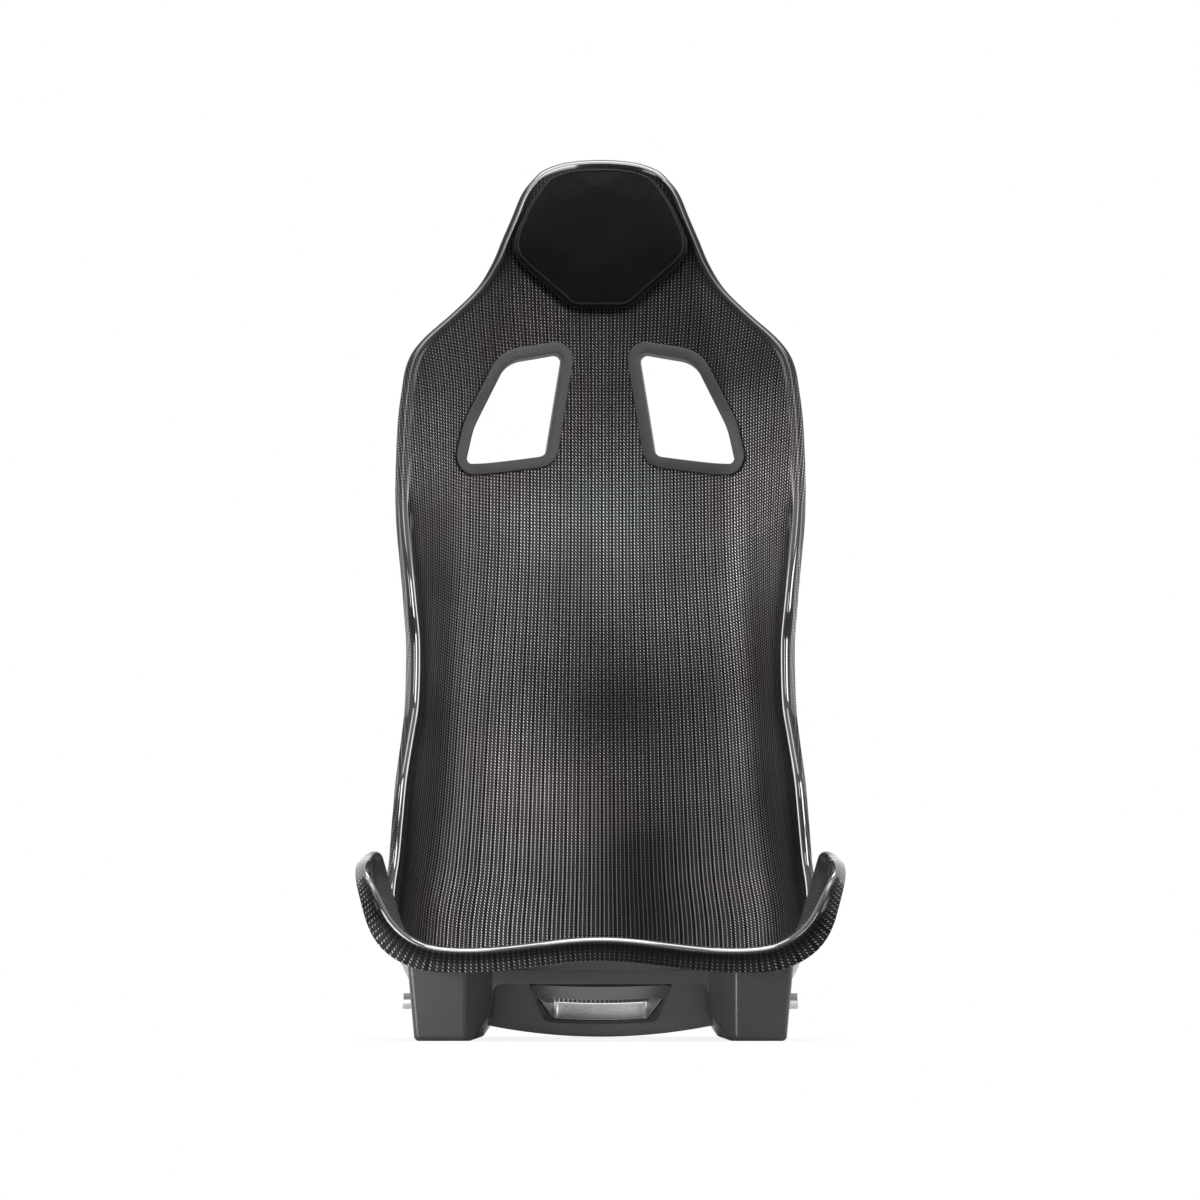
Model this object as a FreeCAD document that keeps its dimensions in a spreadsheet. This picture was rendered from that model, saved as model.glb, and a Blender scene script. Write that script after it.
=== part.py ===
import FreeCAD, Part
import math
import os
import Sketcher
from FreeCAD import Vector

# Racing seat: a moulded carbon bucket with a rolled rim, backed by a foam core and a grey outer
# shell, standing on a two-runner base, with harness slots, a crotch strap slot and a head pad.
# Millimetres. +X is to the right as the seat is seen from the front, the sitter faces -Y, +Z is up.
# The origin is the middle of the seat's footprint, on the surface that the runners stand on.

doc = FreeCAD.newDocument("racing_seat")

DRIVING_SIZES = [
    ("depth_centre", 290.7, "lip crest to the middle of the seat's depth"),
    ("lip_height", 91.0, "height of the lip crest at the middle"),
    ("lip_slope", -6.0, "direction of the centre line at the lip crest, degrees"),
    ("pan_length", 186.0, "straight part of the seat pan"),
    ("hip_radius", 130.0, "radius between the pan and the back"),
    ("lumbar_length", 150.0, "first length of the back"),
    ("back_length", 300.0, "second length of the back"),
    ("shoulder_length", 230.0, "third length of the back"),
    ("head_length", 160.0, "last length of the back"),
    ("hip_split", 338.0, "where the pan's solid meets the back's, along the centre line"),
    ("shoulder_split", 850.0, "where the back's solid meets the head's, along the centre line"),
    ("roll_turn", 96.0, "angle that the rim rolls through, degrees"),
    ("carbon_skin", 1.5, "thickness of the carbon bucket"),
    ("outer_skin", 1.5, "thickness of the outer shell"),
    ("core_thickness", 2.2, "thickness of the foam core"),
    ("bond_gap", 0.9, "glue line between two skins"),
    ("slot_station", 1000.0, "harness slot centre, along the centre line"),
    ("slot_girth", 90.0, "harness slot centre, along the surface from the middle"),
    ("bezel_width", 12.0, "width of a harness bezel's face"),
    ("bezel_height", 2.4, "thickness of a bezel's face"),
    ("bezel_lift", 0.2, "glue under a bezel"),
    ("collar_wall", 1.6, "wall of a slot's collar"),
    ("slot_clearance", 0.6, "space between a slot's collar and the skins"),
    ("backing_width", 14.0, "width of the ring behind a harness slot"),
    ("crotch_station", 179.0, "crotch slot centre, along the centre line"),
    ("crotch_length", 54.0, "crotch slot, front to rear"),
    ("crotch_front", 112.0, "crotch slot width at its front"),
    ("crotch_rear", 86.0, "crotch slot width at its rear"),
    ("crotch_corner", 5.0, "corner radius of the crotch slot"),
    ("crotch_bezel_width", 8.0, "width of the crotch bezel's face"),
    ("frame_reach", 36.0, "frame under the pan, ahead of the crotch slot"),
    ("frame_border", 9.0, "frame under the pan, beside and behind the slot"),
    ("frame_height", 3.0, "thickness of the frame under the pan"),
    ("feet_front", 45.0, "lip crest to the front of the runners"),
    ("base_length", 350.0, "length of the runners"),
    ("foot_inner", 114.0, "runner's inner face at the floor, from the middle"),
    ("foot_outer", 164.5, "runner's outer face at the floor, from the middle"),
    ("foot_knee", 100.5, "runner's inner face at the knee"),
    ("knee_height", 20.0, "height of the knee"),
    ("foot_waist", 96.0, "runner's inner face above the waist"),
    ("waist_height", 42.0, "height of the waist"),
    ("foot_shoulder", 175.0, "runner's outer face at its top"),
    ("runner_height", 110.0, "runner's height before the belly is taken out"),
    ("tail_height", 64.0, "height of the runner's rear end"),
    ("tail_run", 65.0, "length of the slope up from the rear end"),
    ("nose_width", 24.0, "bevel on a runner's front inner corner, across"),
    ("nose_depth", 25.0, "bevel on a runner's front inner corner, front to rear"),
    ("runner_corner", 4.5, "rounding of the runner's edges"),
    ("base_wall", 3.5, "wall of the base moulding"),
    ("panel_bottom", 50.0, "height of the front cross panel's lower edge"),
    ("panel_corner", 8.0, "radius at the ends of a cross panel's lower edge"),
    ("rear_panel_place", 366.0, "lip crest to the rear cross panel"),
    ("rear_panel_bottom", 24.0, "height of the rear cross panel's lower edge"),
    ("mount_height", 35.0, "height of the side mounting holes"),
    ("mount_front", 80.0, "lip crest to the front mounting holes"),
    ("mount_spacing", 290.0, "front to rear mounting hole"),
    ("mount_face", 176.5, "end of a mounting bush, from the middle"),
    ("bush_radius", 7.0, "mounting bush, outer radius"),
    ("bush_length", 25.0, "length of a mounting bush"),
    ("bush_chamfer", 0.8, "bevel on the end of a mounting bush"),
    ("thread_radius", 4.0, "M8 thread of a mounting bush"),
    ("thread_length", 20.0, "depth of the thread"),
    ("plate_size", 38.0, "side of a square insert plate"),
    ("plate_face", 154.0, "insert plate's inner face, from the middle"),
    ("pad_station", 1186.0, "head pad centre, along the centre line"),
    ("pad_height", 26.0, "head pad crown above the carbon surface"),
    ("pad_crown", 8.0, "how much lower the pad's edge is than its crown"),
    ("pad_roll", 9.0, "radius of the pad's edge"),
    ("cover_lift", 1.5, "lower edge of the pad's cover above the carbon surface"),
    ("cover_thickness", 1.2, "fabric and backing of the pad's cover"),
    ("patch_thickness", 1.0, "thickness of a hook or loop patch"),
    ("patch_length", 90.0, "hook and loop patch, across the seat"),
    ("patch_width", 28.0, "hook and loop patch, up the seat"),
    ("patch_spread", 27.0, "patch centres from the pad's centre"),
    ("patch_gap", 0.3, "play between hook, loop, board and foam"),
    ("board_thickness", 1.4, "board in the back of the pad"),
]

sheet = doc.addObject("Spreadsheet::Sheet", "Sheet")
for row, (alias, value, meaning) in enumerate(DRIVING_SIZES, start=1):
    sheet.set("A%d" % row, meaning)
    sheet.set("B%d" % row, str(value))
    sheet.setAlias("B%d" % row, alias)
doc.recompute()

SIZE = {alias: float(sheet.get(alias)) for alias, value, meaning in DRIVING_SIZES}


def amount(formula):
    """The value of a sum of sheet cells and numbers, such as Sheet.foot_inner + 2."""
    total = 0.0
    sign = 1.0
    for word in formula.split():
        if word in "+-":
            sign = 1.0 if word == "+" else -1.0
        elif word.startswith("Sheet."):
            total += sign * SIZE[word[len("Sheet."):]]
        else:
            total += sign * float(word)
    return total


# The bucket's form
#
# A point of the carbon surface is found from its station, the length along the centre line from the
# lip crest over the pan and up the back, and its girth, the length across the seat from the middle.

HIP_TURN = 90.0

CENTRE_RUNS = [
    (50.0, -14.0),
    (SIZE["pan_length"], 0.0),
    (SIZE["hip_radius"] * math.radians(HIP_TURN), HIP_TURN),
    (SIZE["lumbar_length"], 3.0),
    (SIZE["back_length"], 4.0),
    (SIZE["shoulder_length"], 3.0),
    (SIZE["head_length"], 4.0),
]

# Across the seat: station, half width of the floor, radius of the side bend, slope of the side wall,
# radius of the floor, rise between the legs.
CROSS_SECTIONS = [
    (0, 138, 60, 64, 1500, 15),
    (60, 132, 64, 69, 1100, 9),
    (130, 127, 70, 74, 750, 0),
    (236, 127, 76, 74, 540, 0),
    (440, 123, 78, 68, 500, 0),
    (590, 106, 80, 66, 480, 0),
    (740, 102, 80, 62, 460, 0),
    (890, 110, 82, 48, 430, 0),
    (1000, 112, 76, 37, 420, 0),
    (1110, 88, 100, 28, 380, 0),
    (1276, 50, 150, 22, 330, 0),
]
RISE_HALF_WIDTH = 135.0

# The crest of the rim, from the middle of the lip round to the middle of the head: station, girth,
# radius of the rolled edge, length of the flange after the roll.
RIM = [
    (0, 0, 7.5, 13.5),
    (0, 60, 7.5, 13.5),
    (0, 120, 7.5, 14),
    (0, 173, 7.5, 17),
    (2, 201, 7.5, 12.5),
    (13, 228.5, 7.5, 7),
    (40, 247.5, 7.5, 3),
    (100, 263, 7, 2),
    (170, 270, 6.5, 2),
    (236, 256, 6, 2),
    (340, 246.5, 6, 2),
    (440, 246, 6, 2),
    (482, 240.5, 6.5, 2),
    (530, 239.5, 7, 2),
    (566, 237.5, 7, 2.5),
    (615, 226, 7, 4),
    (652, 217.5, 7, 6),
    (716, 216.5, 7, 6),
    (763, 222.5, 7, 5),
    (850, 225, 7, 3),
    (950, 216, 7, 2),
    (1000, 209.5, 6, 2),
    (1034, 201.5, 6, 2),
    (1060, 186, 5.5, 2),
    (1096, 152, 5, 2),
    (1127, 125, 5, 2),
    (1157, 108, 5, 2),
    (1185, 97, 5, 2),
    (1212, 86.5, 5, 2),
    (1237, 77, 5, 2),
    (1252.5, 66.5, 5, 2),
    (1264, 55, 5, 2),
    (1272.5, 32.5, 5, 2),
    (1275.5, 0, 5, 2),
]
RIM_CORNERS = (5, 30)

# The crest of the head pad, from the middle of its lower edge to the middle of its top: station, girth.
PAD_OUTLINE = [
    (1120, 0),
    (1120, 14),
    (1121, 27),
    (1129, 37),
    (1149, 61),
    (1164, 79),
    (1173, 86),
    (1185, 86),
    (1202, 79.5),
    (1220, 71),
    (1237, 60),
    (1249, 50),
    (1257, 30),
    (1260, 0),
]
PAD_CORNERS = (2, 10)
PAD_HALF_HEIGHT = 76.0
PAD_HALF_WIDTH = 98.0

STEP = 0.5


def smooth_step(share):
    share = min(max(share, 0.0), 1.0)
    return share * share * (3.0 - 2.0 * share)


def centre_line(station):
    """Place and direction of the centre line at a station: y, z, slope."""
    y = -SIZE["depth_centre"]
    z = SIZE["lip_height"]
    slope = math.radians(SIZE["lip_slope"])
    if station < 0:
        return y + station * math.cos(slope), z + station * math.sin(slope), slope
    left = station
    for length, turn in CENTRE_RUNS:
        run = min(left, length)
        bend = math.radians(turn) / length
        if bend == 0.0:
            y += run * math.cos(slope)
            z += run * math.sin(slope)
        else:
            turned = slope + bend * run
            y += (math.sin(turned) - math.sin(slope)) / bend
            z -= (math.cos(turned) - math.cos(slope)) / bend
            slope = turned
        left -= run
    return y + left * math.cos(slope), z + left * math.sin(slope), slope


def between_rows(rows, place):
    """The rows' other columns at a place in their first column, on a smooth curve with no overshoot."""
    if place <= rows[0][0]:
        return rows[0][1:]
    if place >= rows[-1][0]:
        return rows[-1][1:]
    index = 0
    while rows[index + 1][0] < place:
        index += 1
    span = rows[index + 1][0] - rows[index][0]
    share = (place - rows[index][0]) / span
    rise = smooth_step(share)
    values = []
    for column in range(1, len(rows[0])):
        start = row_slope(rows, index, column) * span
        end = row_slope(rows, index + 1, column) * span
        value = rows[index][column] * (1.0 - rise) + rows[index + 1][column] * rise
        value += start * share * (1.0 - share) ** 2 - end * share ** 2 * (1.0 - share)
        values.append(value)
    return values


def row_slope(rows, index, column):
    if index == 0 or index == len(rows) - 1:
        return 0.0
    before = (rows[index][column] - rows[index - 1][column]) / (rows[index][0] - rows[index - 1][0])
    after = (rows[index + 1][column] - rows[index][column]) / (rows[index + 1][0] - rows[index][0])
    if before * after <= 0.0:
        return 0.0
    return 2.0 * before * after / (before + after)


def carbon_surface(station, girth):
    """A point of the bucket's inner surface: a curved floor, a bend and a straight wall each side."""
    floor, bend_radius, wall, floor_radius, rise = between_rows(CROSS_SECTIONS, station)
    wall = math.radians(wall)
    floor_turn = math.asin(floor / floor_radius)
    bend_start = floor_radius * floor_turn
    bend_end = bend_start + bend_radius * (wall - floor_turn)
    reach = abs(girth)
    if reach < bend_start:
        x = floor_radius * math.sin(reach / floor_radius)
        lift = floor_radius * (1.0 - math.cos(reach / floor_radius))
    else:
        turn = floor_turn + (min(reach, bend_end) - bend_start) / bend_radius
        past = max(reach - bend_end, 0.0)
        x = floor + bend_radius * (math.sin(turn) - math.sin(floor_turn)) + past * math.cos(wall)
        lift = floor_radius * (1.0 - math.cos(floor_turn))
        lift += bend_radius * (math.cos(floor_turn) - math.cos(turn)) + past * math.sin(wall)
    lift -= rise * smooth_step(x / RISE_HALF_WIDTH)
    y, z, slope = centre_line(station)
    return Vector(math.copysign(x, girth), y - lift * math.sin(slope), z + lift * math.cos(slope))


def pad_rise(station, girth):
    """The head pad's height over the carbon surface, highest at its middle."""
    along = (station - SIZE["pad_station"]) / PAD_HALF_HEIGHT
    across = girth / PAD_HALF_WIDTH
    return SIZE["pad_height"] - SIZE["pad_crown"] * (along ** 2 + across ** 2)


def pad_surface(station, girth):
    return raised(carbon_surface, station, girth, pad_rise(station, girth))


def pad_rim():
    """The pad's outline with its roll and the flange that takes its cover down to the board."""
    roll = SIZE["pad_roll"]
    dropped = roll * (1.0 - math.cos(math.radians(SIZE["roll_turn"]))) + SIZE["cover_lift"]
    return [(station, girth, roll, pad_rise(station, girth) - dropped) for station, girth in PAD_OUTLINE]


def normal(surface, station, girth):
    """Unit normal of a surface, towards the sitter."""
    along = surface(station + STEP, girth) - surface(station - STEP, girth)
    across = surface(station, girth + STEP) - surface(station, girth - STEP)
    return across.cross(along).normalize()


def raised(surface, station, girth, height):
    return surface(station, girth) + normal(surface, station, girth) * height


# An outline is a smooth closed curve through rim rows, mirrored about the middle of the seat


def rim_row(rows, place):
    """The rim at a place, counted in rows: station, girth, roll radius, flange length."""
    last = len(rows) - 1
    if place < 0:
        station, girth, radius, flange = rim_row(rows, -place)
        return station, -girth, radius, flange
    if place > last:
        station, girth, radius, flange = rim_row(rows, 2 * last - place)
        return station, -girth, radius, flange
    index = min(int(place), last - 1)
    share = place - index
    corners = [row_or_mirror(rows, index + offset) for offset in (-1, 0, 1, 2)]
    values = []
    for before, start, end, after in zip(*corners):
        start_slope = 0.5 * (end - before)
        end_slope = 0.5 * (after - start)
        rise = smooth_step(share)
        value = start * (1.0 - rise) + end * rise
        value += start_slope * share * (1.0 - share) ** 2 - end_slope * share ** 2 * (1.0 - share)
        values.append(value)
    return values


def row_or_mirror(rows, index):
    last = len(rows) - 1
    if index < 0:
        station, girth, radius, flange = rows[-index]
        return station, -girth, radius, flange
    if index > last:
        station, girth, radius, flange = rows[2 * last - index]
        return station, -girth, radius, flange
    return rows[index]


def place_where(rows, column, wanted, low, high):
    """The place between low and high where one column of the rim takes a wanted value."""
    rising = rim_row(rows, high)[column] > rim_row(rows, low)[column]
    for _ in range(50):
        middle = 0.5 * (low + high)
        if (rim_row(rows, middle)[column] < wanted) == rising:
            low = middle
        else:
            high = middle
    return 0.5 * (low + high)


class Region:
    """The area inside an outline, as four edges: lower, upper and two sides that mirror each other."""

    def __init__(self, rows, corners):
        self.rows = rows
        self.last = len(rows) - 1
        self.lower_corner, self.upper_corner = corners
        self.lower = rim_row(rows, self.lower_corner)
        self.upper = rim_row(rows, self.upper_corner)

    def lower_place(self, across):
        return place_where(self.rows, 1, abs(across) * self.lower[1], 0, self.lower_corner)

    def upper_place(self, across):
        return place_where(self.rows, 1, abs(across) * self.upper[1], self.upper_corner, self.last)

    def side_place(self, along):
        station = self.lower[0] + along * (self.upper[0] - self.lower[0])
        return place_where(self.rows, 0, station, self.lower_corner, self.upper_corner)

    def spot(self, along, across):
        """Station and girth at shares of the way from the lower to the upper edge and to the side."""
        share = abs(across)
        start = self.rows[0][0]
        end = self.rows[-1][0]
        side = rim_row(self.rows, self.side_place(along))
        low = rim_row(self.rows, self.lower_place(share))
        high = rim_row(self.rows, self.upper_place(share))
        station = (1 - share) * (start + along * (end - start)) + share * side[0]
        station += (1 - along) * low[0] + along * high[0]
        station -= (1 - share) * ((1 - along) * start + along * end)
        station -= share * ((1 - along) * self.lower[0] + along * self.upper[0])
        girth = share * side[1] + (1 - along) * low[1] + along * high[1]
        girth -= share * ((1 - along) * self.lower[1] + along * self.upper[1])
        return station, math.copysign(girth, across)


def spread(count, gather):
    """Shares from 0 to 1 for the poles of a spline, drawn towards both ends by a gathering share."""
    spans = count - 3
    knots = [0] * 4 + list(range(1, spans)) + [spans] * 4
    shares = []
    for index in range(count):
        share = sum(knots[index + 1:index + 4]) / 3.0 / spans
        shares.append(share - gather * math.sin(2.0 * math.pi * share) / (2.0 * math.pi))
    return shares


def spline_face(net):
    """A smooth face from a net of poles; two rows or columns of poles make it ruled that way."""
    counts = (len(net), len(net[0]))
    degrees = [min(3, count - 1) for count in counts]
    mults = []
    knots = []
    for count, degree in zip(counts, degrees):
        inner_knots = count - degree - 1
        mults.append([degree + 1] + [1] * inner_knots + [degree + 1])
        knots.append([float(knot) for knot in range(inner_knots + 2)])
    surface = Part.BSplineSurface()
    surface.buildFromPolesMultsKnots(
        net, mults[0], mults[1], knots[0], knots[1], False, False, degrees[0], degrees[1])
    return surface.toShape()


def closed_solid(faces):
    shell = Part.makeShell(faces)
    shell.sewShape()
    if shell.ShapeType != "Shell":
        shell = Part.Shell(shell.Faces)
    solid = Part.makeSolid(shell)
    if solid.Volume < 0:
        solid.reverse()
    return solid


def flange_point(surface, rows, place, share, depth, trim=0.0):
    """A point of the rolled edge: round the roll, then along the flange, under the surface by depth."""
    station, girth, radius, flange = rim_row(rows, place)
    flange -= trim
    before = rim_row(rows, place - 0.02)
    after = rim_row(rows, place + 0.02)
    along = (surface(after[0], after[1]) - surface(before[0], before[1])).normalize()
    up = normal(surface, station, girth)
    out = along.cross(up).normalize()
    full_turn = math.radians(SIZE["roll_turn"])
    reach = share * (radius * full_turn + flange)
    turn = min(reach / radius, full_turn)
    past = max(reach - radius * full_turn, 0.0)
    point = surface(station, girth)
    point += out * (radius * math.sin(turn)) - up * (radius * (1.0 - math.cos(turn)))
    point += (out * math.cos(turn) - up * math.sin(turn)) * past
    return point - (out * math.sin(turn) + up * math.cos(turn)) * depth


def mirrored(point):
    return Vector(-point.x, point.y, point.z)


class RolledSkin:
    """A surface with a rolled edge all round, as nets of poles at any depth under the surface."""

    def __init__(self, surface, rows, corners, row_count, column_count, roll_count):
        self.surface = surface
        self.rows = rows
        self.region = Region(rows, corners)
        self.alongs = spread(row_count, 0.6)
        self.acrosses = [2.0 * share - 1.0 for share in spread(column_count, 0.45)]
        self.shares = spread(roll_count, 0.0)

    def face_net(self, depth):
        half = []
        for along in self.alongs:
            net_row = []
            for across in self.acrosses:
                if across >= 0.0 or abs(across) < 1e-9:
                    station, girth = self.region.spot(along, max(across, 0.0))
                    net_row.append(raised(self.surface, station, girth, -depth))
            half.append(net_row)
        count = len(self.acrosses) - len(half[0])
        return [[mirrored(point) for point in reversed(net_row[-count:])] + net_row for net_row in half]

    def roll_nets(self, depth, trim=0.0):
        """Nets of the rolled edge at the lower and upper edges and at the right and left sides."""
        nets = []
        for place_of in (self.region.lower_place, self.region.upper_place):
            net = []
            for across in self.acrosses:
                place = place_of(across)
                points = [flange_point(self.surface, self.rows, place, share, depth, trim)
                          for share in self.shares]
                if across < 0.0:
                    points = [mirrored(point) for point in points]
                net.append(points)
            nets.append(net)
        right = []
        for along in self.alongs:
            place = self.region.side_place(along)
            right.append([flange_point(self.surface, self.rows, place, share, depth, trim)
                          for share in self.shares])
        nets.append(right)
        nets.append([[mirrored(point) for point in net_row] for net_row in right])
        return nets

    def solid(self, top, bottom):
        """The solid between two depths."""
        faces = [spline_face(self.face_net(top)), spline_face(self.face_net(bottom))]
        for upper, lower in zip(self.roll_nets(top), self.roll_nets(bottom)):
            faces.append(spline_face(upper))
            faces.append(spline_face(lower))
            faces.append(spline_face([[points[-1] for points in upper], [points[-1] for points in lower]]))
        return closed_solid(faces)

    def filled_solid(self, top, back):
        """The solid under a depth, closed by a face at a height over the carbon surface."""
        net = self.face_net(top)
        base = []
        for along in self.alongs:
            net_row = []
            for across in self.acrosses:
                station, girth = self.region.spot(along, across)
                net_row.append(raised(carbon_surface, station, girth, back))
            base.append(net_row)
        faces = [spline_face(net), spline_face(base)]
        edges = (base[0], base[-1], [net_row[-1] for net_row in base], [net_row[0] for net_row in base])
        for roll, edge in zip(self.roll_nets(top, back - SIZE["cover_lift"]), edges):
            faces.append(spline_face(roll))
            faces.append(spline_face([[points[-1] for points in roll], edge]))
        return closed_solid(faces)


def sheet_faces(bottom, top):
    """The two nets and the four ruled sides of a sheet."""
    faces = [spline_face(bottom), spline_face(top)]
    faces.append(spline_face([bottom[0], top[0]]))
    faces.append(spline_face([bottom[-1], top[-1]]))
    faces.append(spline_face([[net_row[0] for net_row in bottom], [net_row[0] for net_row in top]]))
    faces.append(spline_face([[net_row[-1] for net_row in bottom], [net_row[-1] for net_row in top]]))
    return faces


def slab(spot, row_count, column_count, low, high):
    """A sheet between two heights over the carbon surface; spot gives station and girth from shares."""
    nets = []
    for height in (low, high):
        net = []
        for along in spread(row_count, 0.0):
            net_row = []
            for across in spread(column_count, 0.0):
                station, girth = spot(along, across)
                net_row.append(raised(carbon_surface, station, girth, height))
            net.append(net_row)
        nets.append(net)
    return closed_solid(sheet_faces(*nets))


def rectangle(first_station, last_station, first_girth, last_girth):
    """A rectangle on the carbon surface, for slab."""
    def spot(along, across):
        station = first_station + along * (last_station - first_station)
        return station, first_girth + across * (last_girth - first_girth)
    return spot


def inside(region, first_along, last_along, width_share):
    """A part of a region, for slab."""
    def spot(along, across):
        return region.spot(first_along + along * (last_along - first_along), (2 * across - 1) * width_share)
    return spot


# Pieces as objects of the document


def feature(name, shape):
    part = doc.addObject("Part::Feature", name)
    part.Shape = shape
    return part


def bind(part, formulas):
    """Tie an object's properties to the sheet."""
    for place, formula in formulas.items():
        part.setExpression(place, formula)
    return part


def combined(kind, name, base, tool):
    part = doc.addObject(kind, name)
    part.Base = base
    part.Tool = tool
    return part


def cut(name, base, tool):
    return combined("Part::Cut", name, base, tool)


def common(name, base, tool):
    return combined("Part::Common", name, base, tool)


def fused(name, parts):
    part = doc.addObject("Part::MultiFuse", name)
    part.Shapes = parts
    return part


def mirrored_part(name, source):
    part = doc.addObject("Part::Mirroring", name)
    part.Source = source
    part.Normal = Vector(1, 0, 0)
    return part


def piece(part, name):
    """Mark an object as a finished piece; its label names its file."""
    part.Label = name
    pieces.append(part)
    return part


pieces = []

# Skins of the bucket

CORE_TOP = SIZE["carbon_skin"] + SIZE["bond_gap"]
CORE_BOTTOM = CORE_TOP + SIZE["core_thickness"]
OUTER_TOP = CORE_BOTTOM + SIZE["bond_gap"]
OUTER_BOTTOM = OUTER_TOP + SIZE["outer_skin"]

bucket = RolledSkin(carbon_surface, RIM, RIM_CORNERS, 78, 51, 10)
bucket_blank = feature("bucket_blank", bucket.solid(0.0, SIZE["carbon_skin"]))
outer_spot = inside(bucket.region, 0.012, 0.992, 0.975)
outer_blank = feature("outer_blank", slab(outer_spot, 72, 49, -OUTER_BOTTOM, -OUTER_TOP))
back_core_spot = inside(bucket.region, 0.37, 0.965, 0.72)
back_core_blank = feature("back_core_blank", slab(back_core_spot, 36, 25, -CORE_BOTTOM, -CORE_TOP))
pan_core_spot = inside(bucket.region, 0.03, 0.19, 0.62)
pan_core_blank = feature("pan_core_blank", slab(pan_core_spot, 14, 25, -CORE_BOTTOM, -CORE_TOP))

# Slots: an outline in a plane that touches the carbon surface, with x across the seat and y along it

PRISM_REACH = 40.0
SLOT_NET = (28, 28)
COLLAR_PAST_SKIN = 2.2
COLLAR = "Sheet.collar_wall"
HOLE = "Sheet.collar_wall + Sheet.slot_clearance"
BEZEL_TOP = SIZE["bezel_lift"] + SIZE["bezel_height"]
BEHIND = -OUTER_BOTTOM - SIZE["bezel_lift"]
BACKING_THICKNESS = 2.0

# Corners of the right harness slot and the radius of each, from the slot's centre.
HARNESS_SLOT = [
    (-51, 68, 6.5),
    (-34, -47, 11),
    (50.5, -64, 4.5),
    (42, -24, 90),
    (6.5, 54, 32),
]


def trapezoid(front, rear, front_half, rear_half, corner):
    """Corners of an outline that is symmetric across the seat, for rounded_edges."""
    return [
        (-front_half, front, corner),
        (front_half, front, corner),
        (rear_half, rear, corner),
        (-rear_half, rear, corner),
    ]


def rounded_edges(corners):
    """Lines and arcs of a closed outline; each corner is x, y and its radius."""
    starts = []
    ends = []
    middles = []
    for index, (x, y, radius) in enumerate(corners):
        corner = Vector(x, y, 0)
        before = Vector(*corners[index - 1][:2], 0) - corner
        after = Vector(*corners[(index + 1) % len(corners)][:2], 0) - corner
        half_angle = 0.5 * before.getAngle(after)
        before.normalize()
        after.normalize()
        inward = (before + after).normalize()
        starts.append(corner + before * (radius / math.tan(half_angle)))
        ends.append(corner + after * (radius / math.tan(half_angle)))
        middles.append(corner + inward * (radius / math.sin(half_angle) - radius))
    edges = []
    for index in range(len(corners)):
        edges.append(Part.LineSegment(ends[index - 1], starts[index]))
        edges.append(Part.Arc(starts[index], middles[index], ends[index]))
    return edges


def touching_placement(station, girth):
    across = carbon_surface(station, girth + STEP) - carbon_surface(station, girth - STEP)
    up = normal(carbon_surface, station, girth)
    rotation = FreeCAD.Rotation(across, Vector(), up, "ZXY")
    return FreeCAD.Placement(carbon_surface(station, girth), rotation)


def outline(name, placement, corners):
    """A flat face inside an outline."""
    sketch = doc.addObject("Sketcher::SketchObject", name)
    sketch.Placement = placement
    sketch.addGeometry(rounded_edges(corners), False)
    face = doc.addObject("Part::Face", name + "_face")
    face.Sources = [sketch]
    face.FaceMakerClass = "Part::FaceMakerBullseye"
    return face


def offset_outline(name, source, formula):
    part = doc.addObject("Part::Offset2D", name)
    part.Source = source
    part.Join = "Arc"
    return bind(part, {"Value": formula})


def prism(name, source):
    """An outline drawn out both ways, far enough to pass through every skin."""
    part = doc.addObject("Part::Extrusion", name)
    part.Base = source
    part.DirMode = "Normal"
    part.Solid = True
    part.LengthFwd = PRISM_REACH
    part.LengthRev = PRISM_REACH
    return part


def ring(name, inner, outer):
    return cut(name, prism(name + "_outer", outer), prism(name + "_inner", inner))


def curved_sheet(name, spot, counts, low, high):
    return feature(name, slab(spot, counts[0], counts[1], low, high))


def slot_set(name, sketch, spot, face_width):
    """A slot's hole through the skins, and the bezel whose collar lines it."""
    collar_line = offset_outline(name + "_collar_line", sketch, COLLAR)
    hole_line = offset_outline(name + "_hole_line", sketch, HOLE)
    face_line = offset_outline(name + "_face_line", sketch, face_width)
    hole = prism(name + "_hole", hole_line)
    face_sheet = curved_sheet(name + "_face_sheet", spot, SLOT_NET, SIZE["bezel_lift"], BEZEL_TOP)
    collar_low = -OUTER_BOTTOM - COLLAR_PAST_SKIN
    collar_sheet = curved_sheet(name + "_collar_sheet", spot, SLOT_NET, collar_low, 0.5 * BEZEL_TOP)
    face = common(name + "_face", face_sheet, ring(name + "_face_ring", sketch, face_line))
    collar = common(name + "_collar", collar_sheet, ring(name + "_collar_ring", sketch, collar_line))
    return hole, fused(name + "_bezel", [face, collar])


slot_placement = touching_placement(SIZE["slot_station"], SIZE["slot_girth"])
slot_outline = outline("harness_slot", slot_placement, HARNESS_SLOT)
slot_spot = rectangle(SIZE["slot_station"] - 96.0, SIZE["slot_station"] + 94.0,
                      SIZE["slot_girth"] - 78.0, SIZE["slot_girth"] + 82.0)
slot_hole, harness_bezel = slot_set("harness", slot_outline, slot_spot, "Sheet.bezel_width")
piece(harness_bezel, "harness_bezel_right")
piece(mirrored_part("harness_bezel_mirror", harness_bezel), "harness_bezel_left")

backing_inner = offset_outline("backing_inner", slot_outline, HOLE)
backing_outer = offset_outline("backing_outer", slot_outline, "Sheet.backing_width")
backing_sheet = curved_sheet("backing_sheet", slot_spot, SLOT_NET, BEHIND - BACKING_THICKNESS, BEHIND)
harness_backing = common("harness_backing", backing_sheet,
                         ring("backing_ring", backing_inner, backing_outer))
piece(harness_backing, "harness_backing_right")
piece(mirrored_part("harness_backing_mirror", harness_backing), "harness_backing_left")

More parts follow.
